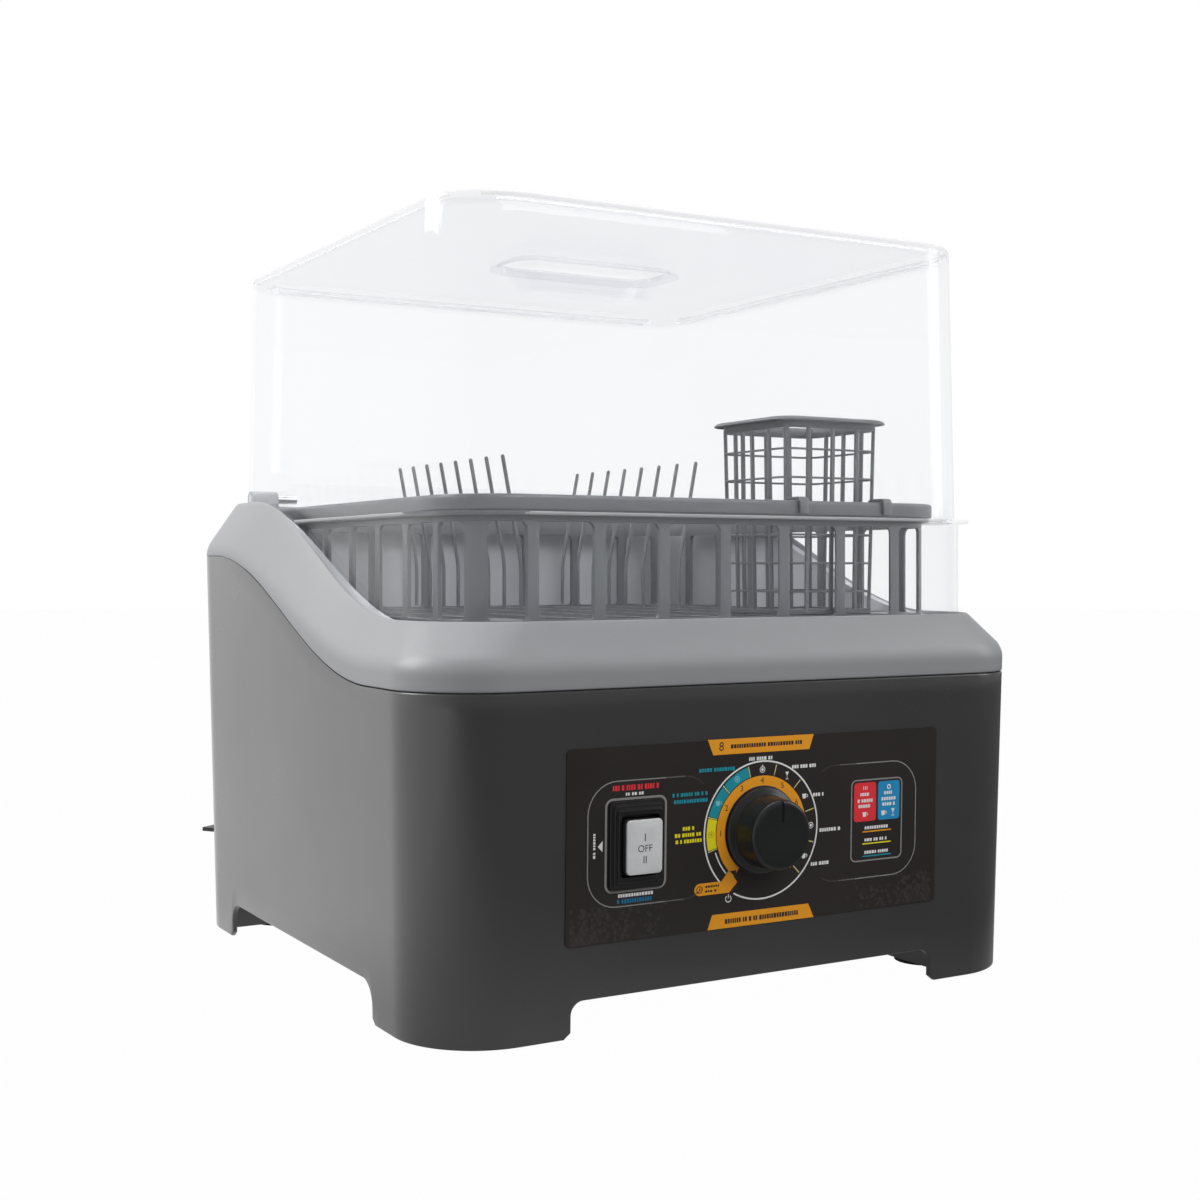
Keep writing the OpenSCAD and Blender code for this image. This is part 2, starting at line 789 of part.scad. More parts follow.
module sump_hose() {
    p = sump_port;
    q = drain_at + [26.3, 0, 0];
    color("#1d1d1d")
        hose([p + [-seat, 0, 0], p + [-6, 0, 0], p + [-12, 0, 0], p + [-20, 16, -8], p + [-11, 48, -26],
            q + [30, -14, 8], q + [22, -1, 1], q + [13, 0, 0], q + [6, 0, 0], q], hose_r, hose_r - 2, 5);
}
module outlet_hose() {
    q = drain_at + [0, outlet_reach + seat, 0];
    e = [spigot_x, casing_half(spigot_z) - 24 - seat, spigot_z + 0.5];
    color("#1d1d1d")
        hose([q, q * 0.5 + e * 0.5, e], hose_r, hose_r - 2, 3);
}
module drain_spigot() {
    color("#2d2f31")
        on_back(spigot_x, spigot_z)
            difference() {
                union() {
                    rod(spigot_r, -24, 24);
                    rod(spigot_r + 6, -wall - seat - 3, -wall - seat);
                    rod(spigot_r + 6, seat, 3);
                }
                rod(spigot_r - 2.4, -30, 40);
            }
}
module inlet_valve() {
    color("#dfe3e6")
        on_back(inlet_x, inlet_z)
            difference() {
                union() {
                    rod(thread_r, -wall - 8, 14);
                    rod(thread_r + 5, -wall - seat - 3, -wall - seat);
                    rod(thread_r + 5, seat, 2.5);
                    translate([0, 0, -34])
                        slab(34, 34, 3, 0, 27);
                    translate([0, -17, -22])
                        rotate([90, 0, 0])
                            rod(12, -1, 18);
                    translate([0, 0, -52])
                        rod(6, 0, 20);
                }
                rod(9, -4, 20);
                rod(3, -60, 0);
            }
}
module inlet_hose() {
    s = [inlet_x, casing_half(inlet_z) - 53.5, inlet_z + 1];
    e = [inlet_port[0], inlet_port[1], floor_z - 12.3];
    color("#1d1d1d")
        hose([s, s + [0, -5, 0], s + [0, -10, 0], s + [8, -22, 22],
            e + [0, 0, -30], e + [0, 0, -12], e + [0, 0, -6], e], 7, 5, 5);
}
module cable_gland() {
    color("#222222")
        on_back(gland_x, gland_z)
            difference() {
                union() {
                    rod(gland_r, -14, 12);
                    rod(gland_r + 4, -wall - seat - 3, -wall - seat);
                    rod(gland_r + 3, seat, 4);
                }
                rod(3.6, -20, 20);
            }
}
module terminal_block() {
    color("#e8e6dc")
        translate([40, 130, base_z + base_t])
            difference() {
                block([-26, -12, 0.1], [26, 12, 18]);
                for (i = [-2:2])
                    translate([i * 9, 0, 0])
                        rod(2.6, 8, 20);
            }
}
module wiring() {
    t = [40, 117.5, base_z + base_t + 10];
    color("#b03030")
        wire([t, t + [0, -4, 0], t + [0, -8, 0], [58, 78, 48], [84, -30, 52],
            [30, 83.4 - casing_half(78), 66], [6, 55.4 - casing_half(78), 78]], 2.2, 4);
    color("#2f5fb0")
        wire([t + [-16, 0, 0], t + [-16, -4, 0], t + [-16, -8, 0], [-20, 90, 40], [-60, 20, 34],
            [-84, -60, 44], [-84, 65.4 - casing_half(76), 76]], 2.2, 4);
    color("#d0a020")
        wire([t + [16, 0, 0], t + [16, -4, 0], t + [16, -9, 0],
            [66, 96, 34], [62, 30, 34], [44, 6, 44]], 2.2, 4);
}
module water_level_switch() {
    color("#e8e6dc")
        translate([-120, -60, 0]) {
            rod(20, floor_z - tub_t - 22, floor_z - tub_t - 0.3);
            rod(24, floor_z - tub_t - 14, floor_z - tub_t - 11);
            rod(3, floor_z - tub_t - 34, floor_z - tub_t - 22);
        }
}
hook_a = 35;         // where round the rear corner the hook stands, in degrees from the back
hook_z = 57;
module hose_hook() {
    // A lug on the rear left corner that the drain hose hangs in
    c = casing_half(hook_z) - corner_r;
    color("#222222")
        translate([-c, c, hook_z])
            rotate([0, 0, hook_a]) {
                translate([0, corner_r + seat, 0]) {
                    block([-3, 0, -9], [3, 2.6, 9]);
                    block([-3, 0, -1.3], [3, 20, 1.3]);
                    block([-3, 17.5, -1.3], [11, 20, 1.3]);
                }
            }
}

// ---------------------------------------------------------------- controls
timer_screw_x = 12.2;
switch_z = 94.8;
switch_body = [24, 36];
label_t = 0.5;
label_z = [46, 145];
module control_label() {
    color("#2f2a29")
        on_front(knob_x + 1.1, (label_z[0] + label_z[1]) / 2)
            difference() {
                slab(panel_w, panel_h, 3, fit, fit + label_t);
                translate([-1.1, knob_z - (label_z[0] + label_z[1]) / 2, 0])
                    rod(19, -1, 5);
                translate([switch_x - knob_x - 1.1, switch_z - (label_z[0] + label_z[1]) / 2, 0])
                    slab(switch_body[0] + 2 * seat, switch_body[1] + 2 * seat, 1, -1, 5);
            }
}
timer_front = -wall - seat;
module timer_body() {
    color("#e3e0d6")
        on_front(knob_x, knob_z)
            difference() {
                union() {
                    slab(52, 52, 4, timer_front - 34, timer_front - 6);
                    rod(8.5, timer_front - 8, timer_front);
                    for (s = [-1, 1])
                        translate([s * timer_screw_x, 0, 0])
                            rod(4, timer_front - 8, timer_front);
                }
                slab(46, 46, 2, timer_front - 31, timer_front - 9);
                rod(shaft_r + fit, timer_front - 33, 5);
                for (s = [-1, 1])
                    translate([s * timer_screw_x, 0, 0])
                        rod(1.5, timer_front - 8, 5);
            }
}
module timer_cam() {
    color("#c8c4b8")
        on_front(knob_x, knob_z)
            difference() {
                union() {
                    for (i = [0:3])
                        rod(19 - 1.5 * (i % 2), timer_front - 27 + i * 4, timer_front - 24.5 + i * 4);
                    rod(7, timer_front - 28, timer_front - 11);
                }
                rod(shaft_r + 0.02, timer_front - 40, 5);
                for (i = [0:3])
                    rotate([0, 0, i * 75])
                        translate([20, 0, timer_front - 27 + i * 4])
                            rod(5, -1, 3);
            }
}
module timer_shaft() {
    color("silver")
        on_front(knob_x, knob_z)
            difference() {
                rod(shaft_r, timer_front - 32.5, knob_h - 4);
                block([shaft_r * 0.5, -5, 4], [shaft_r + 3, 5, knob_h]);
            }
}
module timer_screws() {
    color("silver")
        on_front(knob_x, knob_z)
            for (s = [-1, 1])
                translate([s * timer_screw_x, 0, fit])
                    screw(2.8, 1.6, 1.45, 10);
}
knob_gap = 0.4;
module timer_knob() {
    r = knob_d / 2;
    z0 = fit + label_t + knob_gap;
    cap_r = r - 4;
    color("#2b2c2d")
        on_front(knob_x, knob_z)
            difference() {
                union() {
                    rotate_extrude($fn = 96)
                        polygon([[0, z0 + 2.4], [cap_r - 3, z0 + 2.4], [cap_r - 3, z0],
                            [r - 0.5, z0], [r, z0 + 0.6], [r, z0 + 2], [r - 1, z0 + 3],
                            [cap_r + 0.2, z0 + 3.8], [cap_r - 0.6, knob_h - 1.4],
                            [cap_r - 1.2, knob_h - 0.5], [cap_r - 2.4, knob_h], [0, knob_h]]);
                    rod(shaft_r + 3, z0 + 0.4, z0 + 4);
                }
                difference() {
                    rod(shaft_r + fit, -5, knob_h - 3.5);
                    block([shaft_r * 0.5 + fit, -5, 4.2], [shaft_r + 3, 5, knob_h]);
                }
                block([-0.9, cap_r - 13, knob_h - 1.2], [0.9, cap_r + 1, knob_h + 1]);
            }
}
rocker_w = 21;
rocker_l = 27.8;
rocker_room = 2.8;   // spare length of the well that the rocker tilts in
rocker_out = 9.5;
pivot_z = 1;
pivot_r = 2;
module switch_housing() {
    color("#1c1c1d")
        on_front(switch_x, switch_z)
            difference() {
                union() {
                    for (i = [0:2])
                        slab(32 - 3 * i, 45 - 4.2 * i, 2.4, fit + label_t + fit, 2.2 + 1.6 * i);
                    slab(switch_body[0], switch_body[1], 1, -24, 1);
                    for (i = [-1:1])
                        translate([0, i * 10, 0])
                            block([-3, -0.4, -34], [3, 0.4, -23]);
                }
                slab(rocker_w + 1, rocker_l + rocker_room, 1, -9, 10);
                translate([0, 0, pivot_z])
                    rotate([0, 90, 0])
                        rod(pivot_r + fit, -rocker_w / 2 - 1.4, rocker_w / 2 + 1.4);
            }
}
module switch_rocker() {
    color("#151516")
        on_front(switch_x, switch_z) {
            slab(rocker_w, rocker_l, 1.2, pivot_z - 3, rocker_out - 1.2);
            translate([0, 0, pivot_z])
                rotate([0, 90, 0])
                    rod(pivot_r, -rocker_w / 2 - 1.2, rocker_w / 2 + 1.2);
        }
}
module rocker_plate() {
    color("#b9bbbd")
        on_front(switch_x, switch_z)
            slab(rocker_w, rocker_l, 1.2, rocker_out - 1.2, rocker_out);
}

// ---------------------------------------------------------------- lid
skirt_half = tub_in + 2.7;
lid_half = tub_in + 0.4;
lid_draft = 2.3 / 160;
dome_z0 = flange_z + 2;
function lid_half_at(z) = lid_half - (z - dome_z0) * lid_draft;
edge = 3;
pocket_r = 14;
cup_lip = 5;         // how far the cup's lip reaches under the lid's top
module lid_dome() {
    top_in = lid_top - 3;
    z0 = rim_front - 20;
    color(clear)
        difference() {
            skin([level_ring(lid_half_at(z0), lid_r, z0),
                level_ring(lid_half_at(lid_top - edge), lid_r, lid_top - edge),
                level_ring(lid_half_at(lid_top) - 0.6, lid_r - 0.6, lid_top - 1),
                level_ring(lid_half_at(lid_top) - 2, lid_r - 2, lid_top)]);
            skin([level_ring(lid_half_at(z0 - 5) - lid_t, lid_r - lid_t, z0 - 5),
                level_ring(lid_half_at(top_in - edge) - lid_t, lid_r - lid_t, top_in - edge),
                level_ring(lid_half_at(top_in) - lid_t - 2, lid_r - lid_t - 2, top_in)]);
            slab(pocket_w + 2 * seat, pocket_d + 2 * seat, pocket_r + seat, lid_top - 10, lid_top + 5);
            block([-big / 2, -big / 2, 0], [big / 2, big / 2, dome_z0]);
            curve_cut(rim_y, rim_fn, seat - ledge_drop, 0);
        }
}
module lid_handle_cup() {
    // The finger cup, welded into the opening of the lid's top by the lip under it
    lip_z = lid_top - 3 - seat;
    color(clear)
        difference() {
            union() {
                slab(pocket_w, pocket_d, pocket_r, lid_top - pocket_h, lid_top - seat);
                slab(pocket_w + 2 * cup_lip, pocket_d + 2 * cup_lip, pocket_r + cup_lip, lip_z - 2, lip_z);
            }
            slab(pocket_w - 2 * lid_t, pocket_d - 2 * lid_t, pocket_r - lid_t,
                lid_top - pocket_h + lid_t, lid_top + 5);
        }
}
flange_back = 35;
module lid_skirt() {
    color(clear)
        difference() {
            union() {
                intersection() {
                    frame_slab(2 * (skirt_half + flange_reach), 2 * (skirt_half + flange_reach),
                        lid_r + flange_reach + 3, flange_reach + 2, flange_z, dome_z0 - 0.1);
                    block([-big / 2, -big / 2, 0], [big / 2, flange_back, big]);
                }
                frame_slab(2 * skirt_half, 2 * skirt_half, lid_r + 2.5, lid_t, rim_front - 20, dome_z0 - 0.1);
                frame_slab(2 * skirt_half, 2 * skirt_half, lid_r + 2.5,
                    skirt_half - lid_half + lid_t, flange_z, dome_z0 - 0.1);
            }
            curve_cut(rim_y, rim_fn, seat - ledge_drop, 0);
        }
}
bar_half = post_x[0] - gap;
barrel_r = hinge_pin_r + 2;
module lid_hinge_bar() {
    front = lid_half + seat;
    color(clear)
        difference() {
            union() {
                translate([0, hinge_y, hinge_z])
                    rotate([0, 90, 0])
                        rod(barrel_r, -bar_half, bar_half);
                block([-bar_half, front, hinge_z - 1], [bar_half, hinge_y + 3, hinge_z + 6]);
                block([-bar_half + 8, front, hinge_z + 5], [bar_half - 8, hinge_y - 2, hinge_z + 10.8]);
            }
            for (s = [-1, 1])
                translate([s * bar_half, hinge_y, hinge_z])
                    rotate([0, 90, 0])
                        rod(hinge_pin_r + 0.02, -14, 14);
        }
}
module hinge_pins() {
    color("silver")
        for (s = [-1, 1])
            translate([s * bar_half, hinge_y, hinge_z])
                rotate([0, s * 90, 0])
                    rod(hinge_pin_r, -13.5, post_x[1] - bar_half);
}

// ---------------------------------------------------------------- rack
rack_half = tub_in - rack_gap;
rim_reach = 6;       // how far the rim reaches past the rack's wall
rack_wall = rack_half - rim_reach;
slat_t = 2.5;
rack_r = tub_r - 8;
floor_t = 4;
ring_t = slat_t + 1.5;
rim_h = 14;          // height of the closed band under the rim
rim_t = 2.5;
rim_lip_t = 2.2;
rim_lip_h = 5.5;
slat_n = floor((rack_wall - rack_r) / slat_pitch);
module rack_rim() {
    color(rack_grey) {
        frame_slab(2 * rack_half, 2 * rack_half, rack_r + rim_reach,
            rim_reach + slat_t, rack_top - rim_t, rack_top);
        frame_slab(2 * rack_half, 2 * rack_half, rack_r + rim_reach,
            rim_lip_t, rack_top - rim_lip_h, rack_top - rim_t / 2);
        frame_slab(2 * rack_wall, 2 * rack_wall, rack_r, slat_t, rack_top - rim_h, rack_top - rim_t / 2);
    }
}
module rack_slats() {
    // The upright bars between the floor and the rim, face to face with both
    corner_at = rack_wall - rack_r * 0.2929 - slat_t / 2;
    color(rack_grey) {
        for (a = [0:90:270])
            rotate([0, 0, a])
                for (i = [-slat_n:slat_n])
                    block([i * slat_pitch - slat_w / 2, rack_wall - slat_t, rack_floor + floor_t],
                        [i * slat_pitch + slat_w / 2, rack_wall, rack_top - rim_h]);
        for (a = [0:90:270])
            rotate([0, 0, a])
                translate([corner_at, corner_at, 0])
                    rotate([0, 0, 45])
                        block([-slat_t / 2, -slat_w / 2, rack_floor + floor_t],
                            [slat_t / 2, slat_w / 2, rack_top - rim_h]);
    }
}
peg_r = 3;
module rack_floor_grid() {
    // The grid that closes the rack's bottom, with a plate for a foot in each corner
    inner = slat_n * slat_pitch;
    plate = rack_wall - inner;
    color(rack_grey)
        difference() {
            intersection() {
                slab(2 * rack_wall, 2 * rack_wall, rack_r, rack_floor, rack_floor + floor_t);
                union() {
                    frame_slab(2 * rack_wall, 2 * rack_wall, rack_r, ring_t, rack_floor, rack_floor + floor_t);
                    for (i = [-slat_n:slat_n]) {
                        block([i * slat_pitch - 2, -big / 2, 0], [i * slat_pitch + 2, big / 2, big]);
                        block([-big / 2, i * slat_pitch - 2, 0], [big / 2, i * slat_pitch + 2, big]);
                    }
                    for (y = [(0.5 - slat_n) * slat_pitch:slat_pitch:(slat_n - 0.5) * slat_pitch])
                        block([-big / 2, y - 1.2, 0], [big / 2, y + 1.2, big]);
                    four(inner + plate / 2, inner + plate / 2)
                        block([-plate / 2, -plate / 2, 0], [plate / 2, plate / 2, big]);
                }
            }
            four(rest_at, rest_at)
                rod(peg_r + fit, rack_floor - 1, rack_floor + floor_t + 1);
        }
}
module rack_feet() {
    color(rack_grey)
        four(rest_at, rest_at) {
            rod(rest_r, floor_z + 6 + seat, rack_floor);
            rod(peg_r, rack_floor, rack_floor + floor_t);
        }
}
tine_foot = 57;
tine_mid = 56;
tine_r = tine_d / 2;
wire_z = rack_floor + floor_t + tine_r + fit;
tine_len = (tine_top - wire_z) / cos(tine_lean) - tine_r;
module tine_row(side) {
    half = (tine_n - 1) * tine_pitch / 2;
    color("#6a6b6e") {
        translate([side * tine_foot, tine_mid, wire_z])
            rotate([90, 0, 0])
                rod(tine_r, -half - 14, half + 14);
        for (i = [0:tine_n - 1])
            translate([side * tine_foot, tine_mid - half + i * tine_pitch, wire_z])
                rotate([0, side * tine_lean, 0]) {
                    rod(tine_r, tine_r + fit, tine_len);
                    translate([0, 0, tine_len])
                        sphere(r = tine_r, $fn = 24);
                }
    }
}
module tine_row_left() {
    tine_row(-1);
}
module tine_row_right() {
    tine_row(1);
}

// ---------------------------------------------------------------- cutlery basket
basket_x = rack_wall - basket_side - basket_w / 2;
basket_y = -rack_wall + slat_t + seat + 1.2 + basket_d / 2;
basket_z0 = rack_floor + floor_t + seat;
basket_t = 2;        // thickness of the floor and of the walls
basket_lip = 6;      // how far the rim reaches past the basket's wall
basket_rim_t = 2.6;
band_h = 1.4;
band_t = 0.8;        // the bands' share of the wall, outside the strips
first_band = 12.6;   // height of the lowest band over the basket's underside
post = 3.4;
post_r = 1.4;
strip_w = 3;
hook_x = 27;
hook_w = 6;
hook_t = 2;
leg_t = 1;
basket_rim_z0 = basket_top - basket_rim_t;
basket_wall_z0 = basket_z0 + basket_t;
module basket_floor() {
    color(rack_grey)
        translate([basket_x, basket_y, 0])
            slab(basket_w, basket_d, 4, basket_z0, basket_wall_z0);
}
module basket_uprights() {
    // A post in each corner and three strips in each wall, from the floor to the rim
    color(rack_grey)
        translate([basket_x, basket_y, 0]) {
            four((basket_w - post) / 2, (basket_d - post) / 2)
                slab(post, post, post_r, basket_wall_z0, basket_rim_z0);
            for (s = [-1, 1])
                for (i = [-1:1]) {
                    translate([i * basket_w / 4, s * (basket_d - basket_t - band_t) / 2, 0])
                        basket_strip(strip_w, basket_t - band_t);
                    translate([s * (basket_w - basket_t - band_t) / 2, i * basket_d / 4, 0])
                        basket_strip(basket_t - band_t, strip_w);
                }
        }
}
module basket_strip(x, y) {
    block([-x / 2, -y / 2, basket_wall_z0], [x / 2, y / 2, basket_rim_z0]);
}
module basket_bands() {
    // Level bars from post to post, on the strips' outer faces
    band_step = (basket_rim_z0 - basket_z0 - first_band) / band_n;
    x = basket_w / 2 - post;
    y = basket_d / 2 - post;
    color(rack_grey)
        translate([basket_x, basket_y, basket_z0 + first_band])
            for (i = [0:band_n - 1])
                translate([0, 0, i * band_step])
                    for (s = [0, 1])
                        mirror([s, 0, 0])
                            mirror([0, s, 0]) {
                                block([-x, basket_d / 2 - band_t, 0], [x, basket_d / 2, band_h]);
                                block([basket_w / 2 - band_t, -y, 0], [basket_w / 2, y, band_h]);
                            }
}
module basket_rim() {
    color(rack_grey)
        translate([basket_x, basket_y, 0])
            frame_slab(basket_w + 2 * basket_lip, basket_d + 2 * basket_lip, 9,
                basket_lip + basket_t, basket_rim_z0, basket_top);
}
module basket_hooks() {
    // They sit on the front wall's bands and hang over the rack's rim
    front = -rack_half - basket_y - gap;
    face = -basket_d / 2;
    over = rack_top + seat;
    color(rack_grey)
        translate([basket_x, basket_y, 0])
            for (s = [-1, 1])
                translate([s * hook_x - hook_w / 2, 0, 0])
                    union() {
                        block([0, front - hook_t, over], [hook_w, face, over + hook_t]);
                        block([0, front - hook_t, rack_top - 7], [hook_w, front, over + hook_t]);
                        block([0, face - leg_t, rack_top - 14], [hook_w, face, rack_top + 16]);
                    }
}

lower_casing();
base_cover();
foot_pads();
base_screws();
upper_bezel();
wash_tub();
sump_seal();
sump();
sump_screws();
spray_riser();
spray_arm();
spray_cap();
filter_basket();
heater_element();
heater_clips();
thermostat();
wash_pump_housing();
wash_pump_impeller();
wash_motor_stator();
wash_motor_rotor();
wash_motor_caps();
drain_pump_housing();
drain_pump_motor();
drain_pump_rotor();
sump_hose();
outlet_hose();
drain_spigot();
inlet_valve();
inlet_hose();
cable_gland();
terminal_block();
wiring();
water_level_switch();
hose_hook();
control_label();
timer_body();
timer_cam();
timer_shaft();
timer_screws();
timer_knob();
switch_housing();
switch_rocker();
rocker_plate();
lid_dome();
lid_handle_cup();
lid_skirt();
lid_hinge_bar();
hinge_pins();
rack_rim();
rack_slats();
rack_floor_grid();
rack_feet();
tine_row_left();
tine_row_right();
basket_floor();
basket_uprights();
basket_bands();
basket_rim();
basket_hooks();
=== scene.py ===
import json
import math
import random

import bmesh
import bpy
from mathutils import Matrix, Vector
from mathutils.geometry import tessellate_polygon


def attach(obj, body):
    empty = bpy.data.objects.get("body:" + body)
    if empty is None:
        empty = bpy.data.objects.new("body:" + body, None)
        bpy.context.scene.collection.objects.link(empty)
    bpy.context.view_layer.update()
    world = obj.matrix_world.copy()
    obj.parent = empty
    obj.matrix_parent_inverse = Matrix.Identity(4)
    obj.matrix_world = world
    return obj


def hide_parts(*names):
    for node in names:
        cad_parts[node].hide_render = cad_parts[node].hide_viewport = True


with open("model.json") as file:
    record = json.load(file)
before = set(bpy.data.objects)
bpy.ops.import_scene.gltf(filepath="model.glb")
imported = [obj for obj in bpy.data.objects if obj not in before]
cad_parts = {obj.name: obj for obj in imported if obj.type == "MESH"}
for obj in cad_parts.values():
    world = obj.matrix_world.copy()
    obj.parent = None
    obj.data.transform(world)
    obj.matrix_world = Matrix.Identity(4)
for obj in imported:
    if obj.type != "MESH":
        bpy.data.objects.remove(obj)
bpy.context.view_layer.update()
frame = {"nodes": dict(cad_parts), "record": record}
scene = bpy.context.scene
rng = random.Random(7)

# ---- camera
camera = bpy.data.objects.new("camera", bpy.data.cameras.new("camera"))
scene.collection.objects.link(camera)
PHOTO_SIDE, HORIZON = 1200, 32  # pixels: the photo's side, and how far its horizon is over its middle
camera.location = (-0.515, -0.911, 0.235)
camera.rotation_euler = (math.radians(90), 0, math.radians(-30))
camera.data.sensor_width = 36
camera.data.lens = 49.5
camera.data.shift_y = -HORIZON / PHOTO_SIDE
scene.camera = camera
scene.view_settings.view_transform = "Standard"

# ---- sizes, in millimetres as in the CAD
MM = 0.001
DRAFT = math.radians(1.2)  # the casing's walls lean out by this much
LEAN = math.tan(DRAFT)
HALF = 191.8  # half of the casing's width at the floor
CORNER = 47  # radius of its corners
WALL = 2.8  # its thickness
SIDE = HALF - CORNER  # half of a straight side
ARC = math.pi / 2 * CORNER  # length of a corner
STEP = 2 * SIDE + ARC  # a side and a corner
HIGH_UP = 200  # the height at which a place round the casing is measured
RIM = 180.04  # half of the bezel's opening
DOME = 174.44  # half of the lid at its foot
LID_TOP = 425.6
SKIRT = 176.74  # half of the lid's skirt
SHARP = 32  # degrees from which an edge is drawn sharp


def srgb(code):
    """Linear colour of a written hexadecimal one."""
    parts = [int(code[i:i + 2], 16) / 255 for i in (1, 3, 5)]
    return tuple(c / 12.92 if c <= 0.04045 else ((c + 0.055) / 1.055) ** 2.4 for c in parts) + (1,)


# ---- materials
def new_material(name):
    mat = bpy.data.materials.new(name)
    mat.use_nodes = True
    return mat, mat.node_tree.nodes, mat.node_tree.nodes["Principled BSDF"]


def add(nodes, kind, **values):
    node = nodes.new(kind)
    for key, value in values.items():
        if hasattr(node, key):
            setattr(node, key, value)
        else:
            node.inputs[key.replace("_", " ")].default_value = value
    return node


def join(node, output, other, socket):
    """Links an output of a node to a socket of another."""
    node.id_data.links.new(node.outputs[output], other.inputs[socket])


def compute(nodes, operation, *values):
    """An operation on numbers and on outputs, these given as (node, name)."""
    node = add(nodes, "ShaderNodeMath", operation=operation)
    for k, value in enumerate(values):
        if isinstance(value, tuple):
            join(*value, node, k)
        else:
            node.inputs[k].default_value = value
    return node


def map_range(nodes, *spans):
    """A node that maps one span of values to another: from its least and most to theirs."""
    node = add(nodes, "ShaderNodeMapRange")
    for key, value in zip(("From Min", "From Max", "To Min", "To Max"), spans):
        node.inputs[key].default_value = value
    return node


def rise(nodes, space, direction, *spans):
    """A value that rises along a direction."""
    coord = add(nodes, "ShaderNodeTexCoord")
    toward = add(nodes, "ShaderNodeVectorMath", operation="DOT_PRODUCT")
    toward.inputs[1].default_value = direction
    join(coord, space, toward, 0)
    node = map_range(nodes, *spans)
    join(toward, "Value", node, "Value")
    return node


def surface(name, code, rough=0.4, vary=0.05, scale=18.0, rough_vary=0.06, bump=0.0, bump_scale=900.0,
            **sockets):
    """A finish whose colour and gloss wander a little over the piece, with an optional fine grain."""
    mat, nodes, bsdf = new_material(name)
    base = srgb(code)
    coord = add(nodes, "ShaderNodeTexCoord")
    noise = add(nodes, "ShaderNodeTexNoise", Scale=scale, Detail=3.0, Roughness=0.55)
    join(coord, "Object", noise, "Vector")
    ramp = add(nodes, "ShaderNodeValToRGB")
    for k, (place, gain) in enumerate([(0.3, 1 - vary), (0.7, 1 + vary)]):
        ramp.color_ramp.elements[k].position = place
        ramp.color_ramp.elements[k].color = [min(1, c * gain) for c in base[:3]] + [1]
    join(noise, "Fac", ramp, "Fac")
    join(ramp, "Color", bsdf, "Base Color")
    spread = map_range(nodes, 0.3, 0.7, max(rough - rough_vary, 0.02), rough + rough_vary)
    join(noise, "Fac", spread, "Value")
    join(spread, "Result", bsdf, "Roughness")
    if bump:
        grain = add(nodes, "ShaderNodeTexNoise", Scale=bump_scale, Detail=2.0)
        join(coord, "Object", grain, "Vector")
        relief = add(nodes, "ShaderNodeBump", Strength=bump, Distance=0.0002)
        join(grain, "Fac", relief, "Height")
        join(relief, "Normal", bsdf, "Normal")
    for key, value in sockets.items():
        bsdf.inputs[key.replace("_", " ")].default_value = value
    return mat


MATS = {
    "casing_plastic": surface("casing", "#39393a", 0.3, 0.06, 9, 0.05, 0.05, 2600,
                              Coat_Weight=0.6, Coat_Roughness=0.12),
    "bezel_plastic": surface("bezel", "#949598", 0.42, 0.02, 8, 0.03,
                             Coat_Weight=0.15, Coat_Roughness=0.3),
    "tub_plastic": surface("tub", "#abadb0", 0.34, 0.04, 10, 0.05),
    "rack_plastic": surface("rack", "#56585b", 0.36, 0.05, 22, 0.05),
    "tine_wire": surface("tine", "#5e6063", 0.38, 0.06, 60),
    "hinge_steel": surface("hinge_steel", "#cfcfd1", 0.25, 0.05, 90, Metallic=1.0),
    "rubber_black": surface("rubber", "#202020", 0.75, 0.12, 60, 0.1, 0.3, 1500),
    "screw_steel": surface("screw_steel", "#c9cacb", 0.3, 0.06, 120, Metallic=1.0),
    "black_plastic": surface("black_plastic", "#1c1c1d", 0.34, 0.08, 40, 0.06),
    "knob_plastic": surface("knob", "#1f2021", 0.3, 0.07, 35, 0.05),
    "label_film": surface("label", "#2b2625", 0.36, 0.05, 14, 0.05),
    "rocker_metal": surface("rocker_metal", "#d6d7d8", 0.4, 0.05, 140, 0.08),
    "arm_plastic": surface("arm", "#b9bdc2", 0.4, 0.04, 20),
    "filter_steel": surface("filter_steel", "#b8bbbe", 0.35, 0.06, 150, Metallic=1.0),
    "heater_steel": surface("heater_steel", "#a8a29b", 0.32, 0.08, 60, Metallic=1.0),
    "white_plastic": surface("white_plastic", "#deded9", 0.42, 0.03, 25),
    "sump_plastic": surface("sump", "#2b2c2e", 0.4, 0.08, 25),
    "motor_core": surface("motor_core", "#7a5536", 0.45, 0.2, 160, 0.1),
    "motor_alloy": surface("motor_alloy", "#c5c6c8", 0.4, 0.06, 70, Metallic=1.0),
    "rotor_steel": surface("rotor_steel", "#9d9d9f", 0.35, 0.07, 60, Metallic=1.0),
    "impeller_plastic": surface("impeller", "#31404e", 0.35, 0.06, 40),
    "hose_rubber": surface("hose", "#1c1c1c", 0.6, 0.12, 80, 0.08),
    "wire_pvc": surface("wire", "#a3272b", 0.4, 0.1, 60),
}


LID_IOR = 1.0  # the lid's walls are thin and hardly bend the light
TOP_PAINTED_SHADE = "#f3f3f5"  # painted shade: the lid's top plate, a little thicker than its walls, is painted greyer than them for how its underside looks from below
SHADE_FROM, SHADE_TO = 0.417, 0.4215  # heights in metres between which the painted shade sets in
